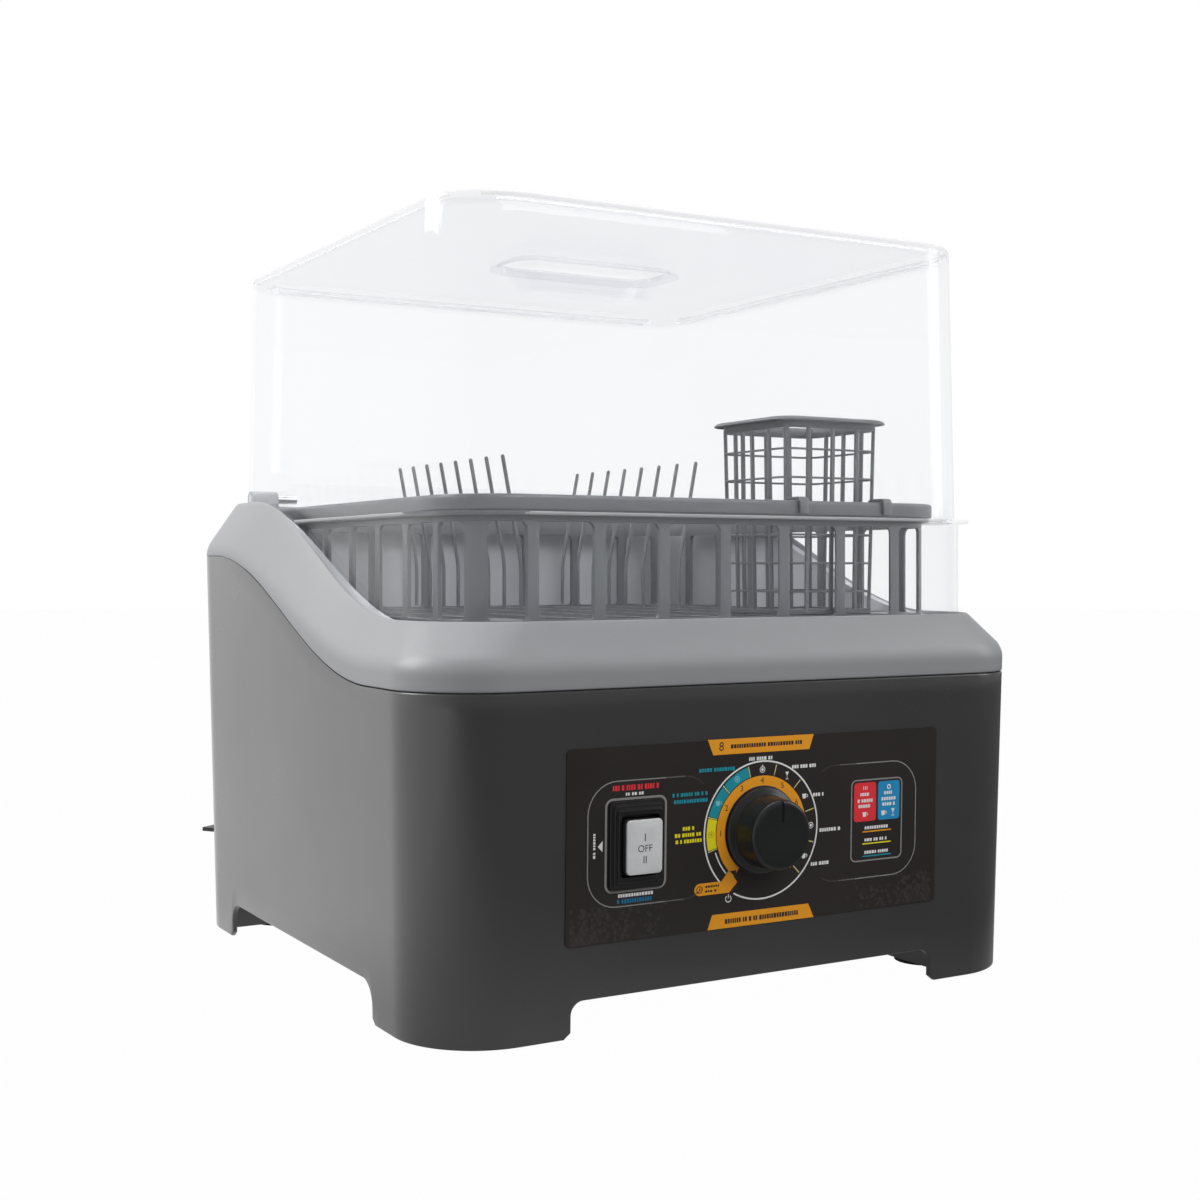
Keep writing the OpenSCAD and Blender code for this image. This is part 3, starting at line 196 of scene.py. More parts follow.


def clear_plastic(name, low, high, roughness, transmission):
    """Clear moulded plastic: a slight wander in its tint, a grey painted over its top plate as shade, and a
    glossy skin, with no refraction.
    """
    mat, nodes, bsdf = new_material(name)
    coord = add(nodes, "ShaderNodeTexCoord")
    noise = add(nodes, "ShaderNodeTexNoise", Scale=6.0, Detail=2.0)
    join(coord, "Object", noise, "Vector")
    ramp = add(nodes, "ShaderNodeValToRGB")
    ramp.color_ramp.elements[0].color = srgb(low)
    ramp.color_ramp.elements[1].color = srgb(high)
    join(noise, "Fac", ramp, "Fac")
    split = add(nodes, "ShaderNodeSeparateXYZ")
    join(coord, "Object", split, 0)
    high_up = map_range(nodes, SHADE_FROM, SHADE_TO, 0.0, 1.0)
    join(split, "Z", high_up, "Value")
    tint = add(nodes, "ShaderNodeMix", data_type="RGBA")
    join(high_up, "Result", tint, "Factor")
    join(ramp, "Color", tint, 6)
    tint.inputs[7].default_value = srgb(TOP_PAINTED_SHADE)
    join(tint, 2, bsdf, "Base Color")
    bsdf.inputs["Roughness"].default_value = roughness
    bsdf.inputs["IOR"].default_value = LID_IOR
    bsdf.inputs["Coat Weight"].default_value = 0.4
    bsdf.inputs["Coat Roughness"].default_value = 0.02
    bsdf.inputs["Transmission Weight"].default_value = transmission
    return mat


MATS["lid_clear"] = clear_plastic("clear_lid", "#fafbfc", "#fdfdfe", 0.01, 1.0)
# painted shade: a grey finish for the lid's edge faces, standing for the clear wall seen edge-on
LID_EDGE_SHADE = clear_plastic("clear_lid_edge", "#dcdde0", "#e6e7e9", 0.25, 0.55)


def printed(name, code):
    """Ink on the panel's film, and one painted highlight laid on it the same way."""
    return surface(f"print_{name}", code, 0.5, 0.02)


ORANGE = printed("orange", "#f0a01e")
TEAL = printed("teal", "#1593a5")
YELLOW = printed("yellow", "#efe11a")
RED = printed("red", "#e8323c")
BLUE = printed("blue", "#1a8fc4")
WHITE = printed("white", "#e9e9e9")
GREY = printed("grey", "#8d8a89")
DARK = printed("dark", "#262221")
LEMON = printed("lemon", "#cfc98c")
# painted highlight: a thin lavender ring round the knob's foot, for the light its base flange's rim catches
FLANGE_HIGHLIGHT = printed("violet", "#57506a")
PALE_TEAL = printed("pale_teal", "#7fc3cc")
PALE_LEMON = printed("pale_lemon", "#c3b91c")
BLUE_DIM = printed("deep_blue", "#1f6f95")
GREY_2 = printed("grey_2", "#676362")
GREY_3 = printed("grey_3", "#453f3e")
FLECK_1 = surface("print_fleck_1", "#3a3432", 0.45, 0.06)
FLECK_2 = surface("print_fleck_2", "#332e2c", 0.45, 0.06)

slots = {row["node"]: row["material_slot"] for row in frame["record"]["subparts"]}
for name, node in frame["nodes"].items():
    node.data.materials.clear()
    node.data.materials.append(MATS[slots[name]])
    for face in node.data.polygons:
        face.use_smooth = True
    node.data.set_sharp_from_angle(angle=math.radians(SHARP))


# ---- making pieces
def soften(ob, width):
    """Rounds an object's sharp edges, so that they catch the light."""
    modifier = ob.modifiers.new("soften", "BEVEL")
    modifier.width = width * MM
    modifier.segments = 2
    modifier.limit_method = "ANGLE"
    modifier.angle_limit = math.radians(40)
    modifier.harden_normals = False


def piece(name, shape, body, slot, nodes=(), angle=SHARP, print_mat=None):
    """A mesh from millimetres, riding a body. All but flat printing is closed, its faces turned outwards."""
    mesh = bpy.data.meshes.new(name)
    mesh.from_pydata([(x * MM, y * MM, z * MM) for x, y, z in shape[0]], [], shape[1])
    ob = bpy.data.objects.new(name, mesh)
    scene.collection.objects.link(ob)
    mesh.materials.append(print_mat or MATS[slot])
    for face in mesh.polygons:
        face.use_smooth = True
    mesh.validate()
    if not print_mat:
        bm = bmesh.new()
        bm.from_mesh(mesh)
        bmesh.ops.recalc_face_normals(bm, faces=bm.faces)
        bm.to_mesh(mesh)
        bm.free()
        mesh.set_sharp_from_angle(angle=math.radians(angle))
    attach(ob, body)
    if nodes:
        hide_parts(*nodes)
    return ob


def loft(rings, wrap_rings=False):
    """Vertices and faces over rings with equally many points: capped, or closed on itself."""
    n, m = len(rings[0]), len(rings)
    verts = [p for ring in rings for p in ring]
    faces = []
    for k in range(m if wrap_rings else m - 1):
        for i in range(n):
            a, b, j = k * n, (k + 1) % m * n, (i + 1) % n
            faces.append((a + i, a + j, b + j, b + i))
    if not wrap_rings:
        faces += [tuple(range(n - 1, -1, -1)), tuple(range((m - 1) * n, m * n))]
    return verts, faces


def circle(sides):
    """Angles of even steps round a circle."""
    return [2 * math.pi * k / sides for k in range(sides)]


def polar(r, degrees):
    """A point at a distance and an angle."""
    return r * math.cos(math.radians(degrees)), r * math.sin(math.radians(degrees))


def merge(*parts):
    """Several (verts, faces) as one."""
    verts, faces = [], []
    for v, f in parts:
        faces += [tuple(i + len(verts) for i in face) for face in f]
        verts += v
    return verts, faces


def round_rect(hx, hy, r, corner=8, side=6):
    """Points of a rounded rectangle, counter-clockwise from the right."""
    out = []
    for q, (sx, sy) in enumerate([(1, 1), (-1, 1), (-1, -1), (1, -1)]):
        for i in range(corner + 1):
            a = math.radians(90 * q + 90 * i / corner)
            out.append((sx * (hx - r) + r * math.cos(a), sy * (hy - r) + r * math.sin(a)))
        tx, ty = [(1, 1), (-1, 1), (-1, -1), (1, -1)][(q + 1) % 4]
        a = math.radians(90 * q + 90)
        end = (tx * (hx - r) + r * math.cos(a), ty * (hy - r) + r * math.sin(a))
        start = out[-1]
        out += [(start[0] + (end[0] - start[0]) * t / side, start[1] + (end[1] - start[1]) * t / side)
                for t in range(1, side)]
    return out


def level(hx, hy, r, z, **counts):
    return [(x, y, z) for x, y in round_rect(hx, hy, r, **counts)]


def curve(p0, p1, p2, n, skip_first=False):
    """A quadratic bend from p0 to p2 with its corner at p1."""
    out = [tuple((1 - t) ** 2 * a + 2 * t * (1 - t) * b + t * t * c for a, b, c in zip(p0, p1, p2))
           for t in (i / n for i in range(n + 1))]
    return out[1:] if skip_first else out


def heading(path, i):
    """The direction of a path at one of its points."""
    return (path[min(i + 1, len(path) - 1)] - path[max(i - 1, 0)]).normalized()


def strip(path, side, wide, thick, r=0.4):
    """A flat strip along a path, wide along side, with eased corners."""
    side = Vector(side).normalized()
    path = [Vector(p) for p in path]
    section = round_rect(wide / 2, thick / 2, min(r, wide / 2 - 0.05, thick / 2 - 0.05), 2, 1)
    rings = []
    for i, p in enumerate(path):
        across = side.cross(heading(path, i)).normalized()
        rings.append([tuple(p + side * u + across * v) for u, v in section])
    return loft(rings)


def tube(path, r, sides=12):
    """A round wire along a path, closed by a dome at its last point."""
    path = [Vector(p) for p in path]
    rings = []
    side = Vector((0, 1, 0))
    for i, p in enumerate(path):
        ahead = heading(path, i)
        side = (side - ahead * side.dot(ahead)).normalized()
        across = ahead.cross(side)
        rings.append([tuple(p + (side * math.cos(a) + across * math.sin(a)) * r) for a in circle(sides)])
    ahead = (path[-1] - path[-2]).normalized()
    across = ahead.cross(side)
    for t in (30, 60, 85):
        a = math.radians(t)
        rings.append([tuple(path[-1] + ahead * r * math.sin(a)
                            + (side * math.cos(b) + across * math.sin(b)) * r * math.cos(a))
                      for b in circle(sides)])
    return loft(rings)


def band(hx, hy, r, profile, cx=0.0, cy=0.0, **counts):
    """A closed band round a rounded rectangle. The profile says how far out and how high."""
    rings = [[(cx + x, cy + y, z) for x, y, z in level(hx + o, hy + o, r + o, z, **counts)]
             for o, z in profile]
    return loft(rings, wrap_rings=True)


def bar_profile(o0, o1, z0, z1, e=0.35):
    """The eased cross-section of a level bar."""
    return [(o0, z0 + e), (o0, z1 - e), (o0 + e, z1), (o1 - e, z1),
            (o1, z1 - e), (o1, z0 + e), (o1 - e, z0), (o0 + e, z0)]


def ease(y, y0, y1, z0, z1):
    """A soft step from z0 to z1 while y goes from y0 to y1."""
    t = min(1, max(0, (y - y0) / (y1 - y0)))
    return z0 + (z1 - z0) * (1 - math.cos(math.pi * t)) / 2


SEAM = -116, 136, 174, 243  # the seam's step: its y from and to, then its z
CREST = -134, 120, 208.3, 277  # the same of the bezel's rim


def seam_z(y):
    return ease(y, *SEAM)


def rim_z(y):
    return ease(y, *CREST)


def shoulder_z(y):
    return seam_z(y) + ease(y, *CREST[:2], 13, 5)


def casing_half(z):
    return HALF + z * LEAN


def around(s, half, r):
    """A point of a rounded square. s runs along the casing's foot, from the front's middle to the right."""
    k = math.floor((s + SIDE) / STEP)
    c = s - k * STEP
    n = [(0, -1), (1, 0), (0, 1), (-1, 0)][k % 4]
    t = (-n[1], n[0])
    if c <= SIDE:
        u, v = half, c / SIDE * (half - r)
    else:
        a = (c - SIDE) / ARC * math.pi / 2
        u, v = half - r + r * math.cos(a), half - r + r * math.sin(a)
    return n[0] * u + t[0] * v, n[1] * u + t[1] * v


def walk(step_side=8.0, step_arc=3.0):
    """Even steps round the casing."""
    out = []
    for k in range(4):
        for length, step, start in [(2 * SIDE, step_side, -SIDE), (ARC, step_arc, SIDE)]:
            n = math.ceil(length / step)
            out += [k * STEP + start + length * i / n for i in range(n)]
    return out


# ---- casing
def foot_path():
    """The casing's lower edge as points (s, z): along the floor, and over the arches between the feet."""
    path = []
    w, flare = 116.4, 3.93  # an arch's half width, and how far its ends flare out
    arches = [(18.4, 7), (21.4, 12)]  # height and corner radius: front and back, then the sides
    for k in range(4):
        high, r = arches[k % 2]
        half = [(-w - flare, 0), (-w - 2, 1.55), (-w, 3.1), (-w, (high - r) * 0.7 + 0.9), (-w, high - r)]
        for i in range(1, 9):
            across, up = polar(r, 11.25 * i)
            half.append((-w + r - across, high - r + up))
        half += [(-w + r + (w - r) * i / 14, high) for i in range(1, 15)]
        points = [(-SIDE + (SIDE - w - flare) * i / 5, 0) for i in range(5)] + half
        points += [(-x, z) for x, z in reversed(half[:-1])]
        points += [(w + flare + (SIDE - w - flare) * i / 5, 0) for i in range(1, 6)]
        path += [(k * STEP + x * SIDE / (casing_half(z) - CORNER), z) for x, z in points]
        path += [(k * STEP + SIDE + ARC * i / 24, 0) for i in range(1, 24)]
    return path


def ring_of(columns):
    """A shape over closed columns that stand round the object."""
    n, m = len(columns), len(columns[0])
    faces = [(i * m + k, (i + 1) % n * m + k, (i + 1) % n * m + (k + 1) % m, i * m + (k + 1) % m)
             for i in range(n) for k in range(m)]
    return [p for column in columns for p in column], faces


def casing_shell():
    """The casing's wall as columns from its foot to its seam, and down again inside."""
    path = foot_path()
    n = len(path)
    length = [0.0]
    for i in range(n):
        (s0, z0), (s1, z1) = path[i], path[(i + 1) % n]
        s1 += 4 * STEP if i == n - 1 else 0
        length.append(length[-1] + math.hypot(s1 - s0, z1 - z0))
    tops = [s for s, z in path]  # where each point's column meets the seam
    for k in range(4):
        for side in (-1, 1):
            lo, hi = sorted((side * 70, side * 156))
            inside = [i for i, (s, z) in enumerate(path) if k * STEP + lo <= s <= k * STEP + hi]
            a, b = inside[0], inside[-1]
            for i in range(a, b + 1):
                t = (length[i] - length[a]) / (length[b] - length[a])
                tops[i] = path[a][0] + (path[b][0] - path[a][0]) * t
    columns = []
    edge = 0.9
    for i, (s, z) in enumerate(path):
        (sa, za), (sb, zb) = path[i - 1], path[(i + 1) % n]
        sa -= 4 * STEP if i == 0 else 0
        sb += 4 * STEP if i == n - 1 else 0
        d = math.hypot(sb - sa, zb - za)
        ns, nz = -(zb - za) / d, (sb - sa) / d
        y = around(tops[i], casing_half(HIGH_UP), CORNER)[1]
        top = seam_z(y)
        column = []
        for k in (3, 2, 1, 0):
            a = math.radians(30 * k)
            off, depth = edge * (1 - math.sin(a)), edge * (1 - math.cos(a))
            column.append((s + ns * off, z + nz * off, depth))
        s0, z0, _ = column[-1]
        for k in range(1, 17):
            t = k / 16
            column.append((s0 + (tops[i] - s0) * t, z0 + (top - edge - z0) * t, 0))
        for k in (1, 2, 3):
            a = math.radians(30 * k)
            column.append((tops[i], top - edge + edge * math.sin(a), edge * (1 - math.cos(a))))
        column.append((tops[i], top, WALL))
        for k in range(7, -1, -1):
            column.append((s + (tops[i] - s) * k / 8, z + (top - z) * k / 8, WALL))
        columns.append([around(cs, casing_half(cz) - cd, CORNER - cd) + (cz,) for cs, cz, cd in column])
    return ring_of(columns)


piece("casing", casing_shell(), "base", "casing_plastic", ["lower_casing"], 40)


# ---- bezel
LEDGE, LEDGE_R = 176.84, 43.3  # half of the ledge inside the rim, and its corners
TONGUE, TONGUE_OUT, TONGUE_R = 190.84, 192.24, 44.2  # the same of the tongue behind the casing's top


def bezel_ring():
    """The bezel's wall: up from the seam, over the shoulder and the crest, and back under the rim."""
    def out(z, inset):
        return casing_half(z) - inset, CORNER - inset * 0.5, z

    columns = []
    for s in walk(6.0, 2.6):
        y = around(s, casing_half(HIGH_UP), CORNER)[1]
        seam, rim, shoulder = seam_z(y), rim_z(y), shoulder_z(y)
        lower = [out(seam + 0.4, 0.7), out(seam + 0.55, 0.3), out(seam + 0.95, 0.05), out(seam + 1.5, 0)]
        lower += [out(seam + 1.5 + (shoulder - 5 - seam - 1.5) * t / 3, 0) for t in (1, 2, 3)]
        slope = (casing_half(shoulder) - 1.6 - RIM - 1.6) / (rim - 0.5 - shoulder - 2.4)
        start, end = out(shoulder - 5, 0), out(shoulder + 4.4, 1.6 + 2 * slope)
        bend = curve(start, out(shoulder + 2.4 - 1.6 / slope, 0), end, 9, True)
        tip = (RIM + 1.6 + 1.6 * slope, CORNER + 0.8, rim - 2.1)
        rise = [tuple(a + (b - a) * t / 5 for a, b in zip(bend[-1], tip)) for t in range(1, 6)]
        crest = curve(tip, (RIM + 1.2, CORNER + 0.6, rim), (RIM + 0.5, CORNER + 0.3, rim), 5, True)
        crest += [(RIM + 0.15, CORNER, rim - 0.15), (RIM, CORNER, rim - 0.6), (RIM, CORNER, rim - 5.6)]
        under = [(LEDGE, LEDGE_R, rim - 5.6), (LEDGE, LEDGE_R, rim - 7.8), (RIM + 0.4, CORNER, rim - 7.8),
                 (TONGUE, TONGUE_R, shoulder - 2), (TONGUE, TONGUE_R, seam - 5),
                 (TONGUE_OUT, TONGUE_R, seam - 5), (TONGUE_OUT, TONGUE_R, seam + 0.4)]
        profile = lower + bend + rise + crest + under
        columns.append([around(s, half, r) + (z,) for half, r, z in profile])
    return ring_of(columns)


HINGE_Y, HINGE_Z = 184.04, 282.0
POST_R, POST_HOLE_R, POST_FOOT = 5.4, 3.05, -13
POST_X = 140, 158.6


def hinge_post(x0, x1):
    """A rounded ear with a hole for the hinge pin, its side faces slightly eased."""
    outer = [(POST_R, POST_FOOT)] + [polar(POST_R, a) for a in range(0, 181, 12)] + [(-POST_R, POST_FOOT)]
    inner = [polar(POST_HOLE_R, -40 + 260 * i / (len(outer) - 1)) for i in range(len(outer))]
    rings = []
    for x, shrink in [(x0, 0.93), (x0 + 0.4, 0.98), (x0 + 1, 1), (x1 - 1, 1), (x1 - 0.4, 0.98), (x1, 0.93)]:
        rings.append([(x, HINGE_Y + u * shrink, HINGE_Z + (v * shrink if v > 0 else v)) for u, v in outer])
    for x in (x1, x0):
        rings.append([(x, HINGE_Y + u, HINGE_Z + v) for u, v in inner])
    return loft(rings, wrap_rings=True)


posts = [hinge_post(*POST_X), hinge_post(-POST_X[1], -POST_X[0])]
piece("bezel", merge(bezel_ring(), *posts), "base", "bezel_plastic", ["upper_bezel"], 38)


# ---- clear lid
LID_FOOT = 263.5
LID_R = 42  # radius of the lid's upright corners
LID_WALL, LID_PLATE = 2.5, 3  # thickness of its walls and of its top
BELOW_RIM = 2.7  # how far the lid's edge lies below the bezel's rim
CUP_HOLE = 56.3, 23.3, 14.3  # half sizes and corner radius


def dome_half(z):
    return DOME - (z - LID_FOOT) * 2.3 / 160


def lid_dome():
    """The lid's shell: from the cup's hole over the top and down the walls, and back up inside."""
    top = LID_TOP
    ceiling = top - LID_PLATE
    hx, hy, r = CUP_HOLE

    def square(half, corner, z):
        return level(half, half, corner, z, corner=16, side=40)

    def plate(rows, z):
        return [level(*row, z, corner=16, side=40) for row in rows]

    def foot(ring):
        return [(x, y, max(LID_FOOT, rim_z(y) - BELOW_RIM)) for x, y, _ in ring]

    rings = []
    for o, z in [(0, top - 2), (0, top - 0.4), (0.15, top - 0.1), (0.4, top)]:
        rings += plate([(hx + o, hy + o, r + o)], z)
    rings += plate([(62, 30, 18), (100, 80, 28), (140, 135, 38)], top)
    half = dome_half(top)
    rings += [square(half - o, LID_R - o, z)
              for o, z in [(3.2, top), (2.1, top - 0.15), (1.1, top - 0.65), (0.45, top - 1.4),
                           (0.1, top - 2.4), (0, top - 3.6)]]
    rings += [square(dome_half(z), LID_R, z) for z in (400, 370, 340, 310, 285)]
    low, inner_r = dome_half(264), LID_R - LID_WALL
    rings += [foot(square(low, LID_R, 0)), foot(square(low - LID_WALL, inner_r, 0))]
    rings += [square(dome_half(z) - LID_WALL, inner_r, z) for z in (290, 320, 350, 380, 410)]
    inner = dome_half(ceiling) - LID_WALL
    rings += [square(inner - o, inner_r - o, z)
              for o, z in [(0, top - 6.5), (0.3, top - 5), (1, top - 3.8), (2, top - 3.2), (3.4, ceiling)]]
    rings += plate([(140, 135, 36), (100, 80, 28), (62, 30, 18), CUP_HOLE], ceiling)
    return loft(rings, wrap_rings=True)


def handle_cup():
    """The finger cup in the lid's top: a shallow boat with thin flared walls and a welded lip."""
    top = LID_TOP - 0.3
    inside = [(32, 7, 5, 408.3), (38, 12, 7, 408.4), (40.2, 14, 8.5, 408.9), (41.5, 15.2, 9.5, 410),
              (46.5, 18, 10.6, 416), (50.5, 19.8, 11.4, 420.5), (52, 20.4, 11.6, 423.4),
              (53.6, 21.4, 12.4, top - 0.4), (54.6, 22, 13, top)]
    outside = [(55.6, 22.8, 13.8, top), (56, 23, 14, top - 0.4), (56, 23, 14, 422.3),
               (60.6, 27.6, 18.6, 422.3), (61, 28, 19, 421.9), (61, 28, 19, 420.8),
               (60.6, 27.6, 18.6, 420.4), (54, 21.6, 13, 420.2), (51.4, 20.4, 12, 418.6),
               (48.2, 19.2, 11.6, 415), (44.6, 17.2, 10.8, 409.6), (43.6, 16.6, 10.2, 407.4),
               (42, 15.4, 9.4, 406.5), (36, 10, 6, 406.4)]
    return loft([level(*ring, corner=12, side=12) for ring in inside + outside])


def lid_piece(name, shape, node, is_edge):
    """A piece of the lid whose edge faces get a greyer, less clear finish: painted shade for the clear wall
    seen edge-on.
    """
    ob = piece(name, shape, "lid", "lid_clear", [node], 40)
    ob.data.materials.append(LID_EDGE_SHADE)
    for face in ob.data.polygons:
        if is_edge(face.center / MM, face.normal):
            face.material_index = 1
    return ob


lid_piece("lid_shell", lid_dome(), "lid_dome",
          lambda p, n: p.z > LID_TOP - 5.7 and max(abs(p.x), abs(p.y)) > DOME - 9 and abs(n.z) < 0.98)
lid_piece("lid_cup", handle_cup(), "lid_handle_cup", lambda p, n: False)


SKIRT_IN, SKIRT_R, SKIRT_END = 174.24, 44.5, 53.0  # inside, corners, and the y at which it ends
FLANGE_REACH, FLANGE_Z = 6.3, (261.5, 263.4)


def lid_skirt():
    """The upright skirt inside the rim, with the flange round the front and the sides."""
    columns = []
    spread = []
    for s in walk(5.0, 2.6):
        s2 = s if s <= 2 * STEP - SIDE else s - 4 * STEP
        if around(s2, SKIRT, SKIRT_R)[1] < SKIRT_END:
            spread.append(s2)
    spread.sort()
    for s in spread:
        y = around(s, SKIRT, SKIRT_R)[1]
        low = min(rim_z(y) - BELOW_RIM, 261.0)
        reach = FLANGE_REACH * ease(y, 29, 35, 1, 0)
        outer = SKIRT + reach
        under, over = FLANGE_Z
        profile = [(171.94, 39.7, over), (171.94, 39.7, under), (SKIRT_IN, LID_R, under),
                   (SKIRT_IN, LID_R, low), (SKIRT, SKIRT_R, low), (SKIRT, SKIRT_R, 260.7),
                   (SKIRT + min(0.8, reach), 45.2, under), (outer - min(0.5, reach), 50.8, under),
                   (outer, 51.3, 262.0), (outer, 51.3, 262.9), (outer - min(0.5, reach), 50.8, over),
                   (175, 43, over)]
        columns.append([around(s, half, r) + (z,) for half, r, z in profile])
    return loft(columns)


lid_piece("lid_flange", lid_skirt(), "lid_skirt",
          lambda p, n: p.z > 261.4 and max(abs(p.x), abs(p.y)) > SKIRT + 5.9 and abs(n.z) < 0.9)


# ---- rack
RACK = 158.04  # half of the rack's wall, outside
RACK_R = 33
RACK_TOP, RACK_FLOOR = 273.0, 208.0
SLAT_T, SLAT_PITCH = 2.5, 40
SLAT_HALF, CORNER_SLAT_HALF = 3.3, 6.4


def rack_rim():
    """The rim with its turned-down edge in two steps, over the closed band of the wall."""
    profile = [(-2.5, 259), (-2.5, 272.2), (-2.2, 272.8), (-1.4, 273), (4.4, 273), (5.4, 272.7),
               (5.9, 271.8), (6, 270.8), (6, 265.9), (5.8, 265.1), (5.3, 264.8), (4.7, 264.8),
               (4.4, 264.4), (4.4, 262.9), (4.1, 262.2), (3.5, 262.2), (3.2, 262.8), (3.2, 269.4),
               (2.6, 270.3), (0.7, 270.3), (0, 269.6), (0, 259.4), (-0.4, 259)]
    return band(RACK, RACK, RACK_R, profile, corner=20, side=4)


def slat(s_of, half):
    """An upright of the rack's wall that widens in arches at its top and its foot."""
    top, foot, arch, toe = 259.2, RACK_FLOOR - 0.2, 4.2, 2.6
    rings = []
    rows = [foot + toe * t for t in (0, 0.15, 0.4, 0.7, 1)] + [225, 240]
    rows += [top - arch * t for t in (1, 0.8, 0.6, 0.4, 0.2, 0.08, 0)]
    for z in rows:
        up, down = max(0, z - (top - arch)), max(0, foot + toe - z)
        w = half + arch - math.sqrt(arch ** 2 - up ** 2) + toe - math.sqrt(toe ** 2 - down ** 2)
        across = [(s_of(w * t / 3), 0.3 * (abs(t) == 3)) for t in range(-3, 4)]
        ring = [around(s, RACK - eased, RACK_R) + (z,) for s, eased in across]
        ring += [around(s, RACK - SLAT_T + eased, RACK_R - SLAT_T) + (z,) for s, eased in reversed(across)]
        rings.append(ring)
    return loft(rings)


def rack_slats():
    parts = []
    straight = SIDE / (RACK - RACK_R)
    turn = ARC / (math.pi / 2 * RACK_R)
    for k in range(4):
        for i in range(-3, 4):
            parts.append(slat(lambda u, k=k, i=i: k * STEP + (i * SLAT_PITCH + u) * straight, SLAT_HALF))
        parts.append(slat(lambda u, k=k: k * STEP + SIDE + ARC / 2 + u * turn, CORNER_SLAT_HALF))
    return merge(*parts)


piece("rack_rim_moulding", rack_rim(), "rack", "rack_plastic", ["rack_rim"], 40)
piece("rack_uprights", rack_slats(), "rack", "rack_plastic", ["rack_slats"], 40)
soften(frame["nodes"]["rack_floor_grid"], 0.4)


# ---- wire plate holders
TINE_R, TINE_FOOT, TINE_MID, TINE_PITCH, TINES = 1.2, 57, 56, 22.3, 8
TINE_TOP, TINE_LEAN, TINE_BEND = 303.5, 12.4, 238


def tine_row(side):
    """Bent wires on a long foot wire: upright at first, then leaning outwards."""
    z0 = RACK_FLOOR + TINE_R + 0.05
    half = (TINES - 1) * TINE_PITCH / 2
    x0, x1 = side * TINE_FOOT, side * (TINE_FOOT + TINE_LEAN)
    lean = side * TINE_LEAN / (TINE_TOP - TINE_BEND)
    parts = [tube([(x0, TINE_MID - half - 14, z0), (x0, TINE_MID + half + 12.8, z0)], TINE_R)]
    for i in range(TINES):
        y = TINE_MID - half + i * TINE_PITCH
        bend = curve((x0, y, TINE_BEND - 7), (x0, y, TINE_BEND), (x0 + lean * 7, y, TINE_BEND + 7), 6)
        path = [(x0, y, z0), (x0, y, TINE_BEND - 20)] + bend + [(x1, y, TINE_TOP - TINE_R)]
        parts.append(tube(path, TINE_R))
    return merge(*parts)


for side, word in ((-1, "left"), (1, "right")):
    piece(f"plate_wires_{word}", tine_row(side), "rack", "tine_wire", [f"tine_row_{word}"], 40)


# ---- cutlery basket
def cutlery_basket():
    """Thin bands and strips that taper to the floor, a flared brim, and two hooks over the rack's rim."""
    cx, cy, hx, hy, r = 77.79, -120.34, 34.75, 33.75, 9  # middle, half sizes and corner radius
    foot, top, taper = 208.25, 321.6, 2.2
    first_band, band_step, hook_x = 12.6, 16.36, 30
    place = {"cx": cx, "cy": cy, "corner": 8, "side": 4}

    def lean(z):
        return -taper * (top - 3 - z) / (top - 3 - foot)

    brim = [(-1.7, 315.6), (-1.7, 321), (-1.3, 321.5), (-0.4, 321.6), (2.6, 321.5), (4.6, 320.9),
            (5.7, 320), (6, 319.4), (5.8, 319), (5.3, 319.1), (4.2, 319.7), (2.4, 320.1), (0.6, 320),
            (0.1, 319.5), (0, 318.6), (0, 315.6), (-0.3, 315.2), (-1.4, 315.2)]
    parts = [band(hx, hy, r, brim, **place)]
    for i in range(6):
        z = foot + first_band + band_step * i
        section = [(o + lean(z), h) for o, h in bar_profile(-1.5, -0.3, z, z + 1.2, 0.3)]
        parts.append(band(hx, hy, r, section, **place))
    parts.append(band(hx, hy, r, bar_profile(-taper - 1.9, -taper, foot, foot + 3), **place))
    for s in (-1, 1):
        for i in (-1, 0, 1):
            for u, v, side in [(i * hx / 2, s * (hy - 0.9), (1, 0, 0)),
                               (s * (hx - 0.9), i * hy / 2, (0, 1, 0))]:
                outward = Vector((0, s, 0)) if side[0] else Vector((s, 0, 0))
                low = Vector((cx + u, cy + v, foot + 0.4)) + outward * lean(foot)
                parts.append(strip([low, (cx + u, cy + v, top - 4)], side, 2.5, 1.8))
        for t in (-1, 1):
            corner = Vector((s, t, 0))
            high = Vector((cx + s * (hx - 3.1), cy + t * (hy - 3.1), top - 4))
            low = Vector((high.x, high.y, foot + 0.4)) + corner * lean(foot) * 0.9
            parts.append(strip([low, high], (s, -t, 0), 3.2, 2.0, 0.7))
    inner_x, inner_y = hx - taper - 1, hy - taper - 1
    for k in range(-2, 3):
        x, y = cx + k * inner_x / 3, cy + k * inner_y / 3
        along, across = foot + 1, foot + 1.05
        parts.append(strip([(x, cy - inner_y, along), (x, cy + inner_y, along)], (1, 0, 0), 3, 2))
        parts.append(strip([(cx - inner_x, y, across), (cx + inner_x, y, across)], (0, 1, 0), 3, 1.8))
    rack_face, over = -(RACK + 6) - 0.35, RACK_TOP + 1.3
    for x in (cx - hook_x, cx + hook_x):
        wall = cy - hy + 1 - lean(260)
        hook = [(x, wall, 259.5), (x, wall, over - 2.4)]
        hook += curve((x, wall, over - 2.4), (x, wall, over), (x, wall - 2.4, over), 4, True)
        hook += curve((x, rack_face + 1.2, over), (x, rack_face - 1, over), (x, rack_face - 1, over - 2.2), 4)
        hook += [(x, rack_face - 1, RACK_TOP - 7)]
        parts.append(strip(hook, (1, 0, 0), 6, 1.9, 0.5))
    return merge(*parts)


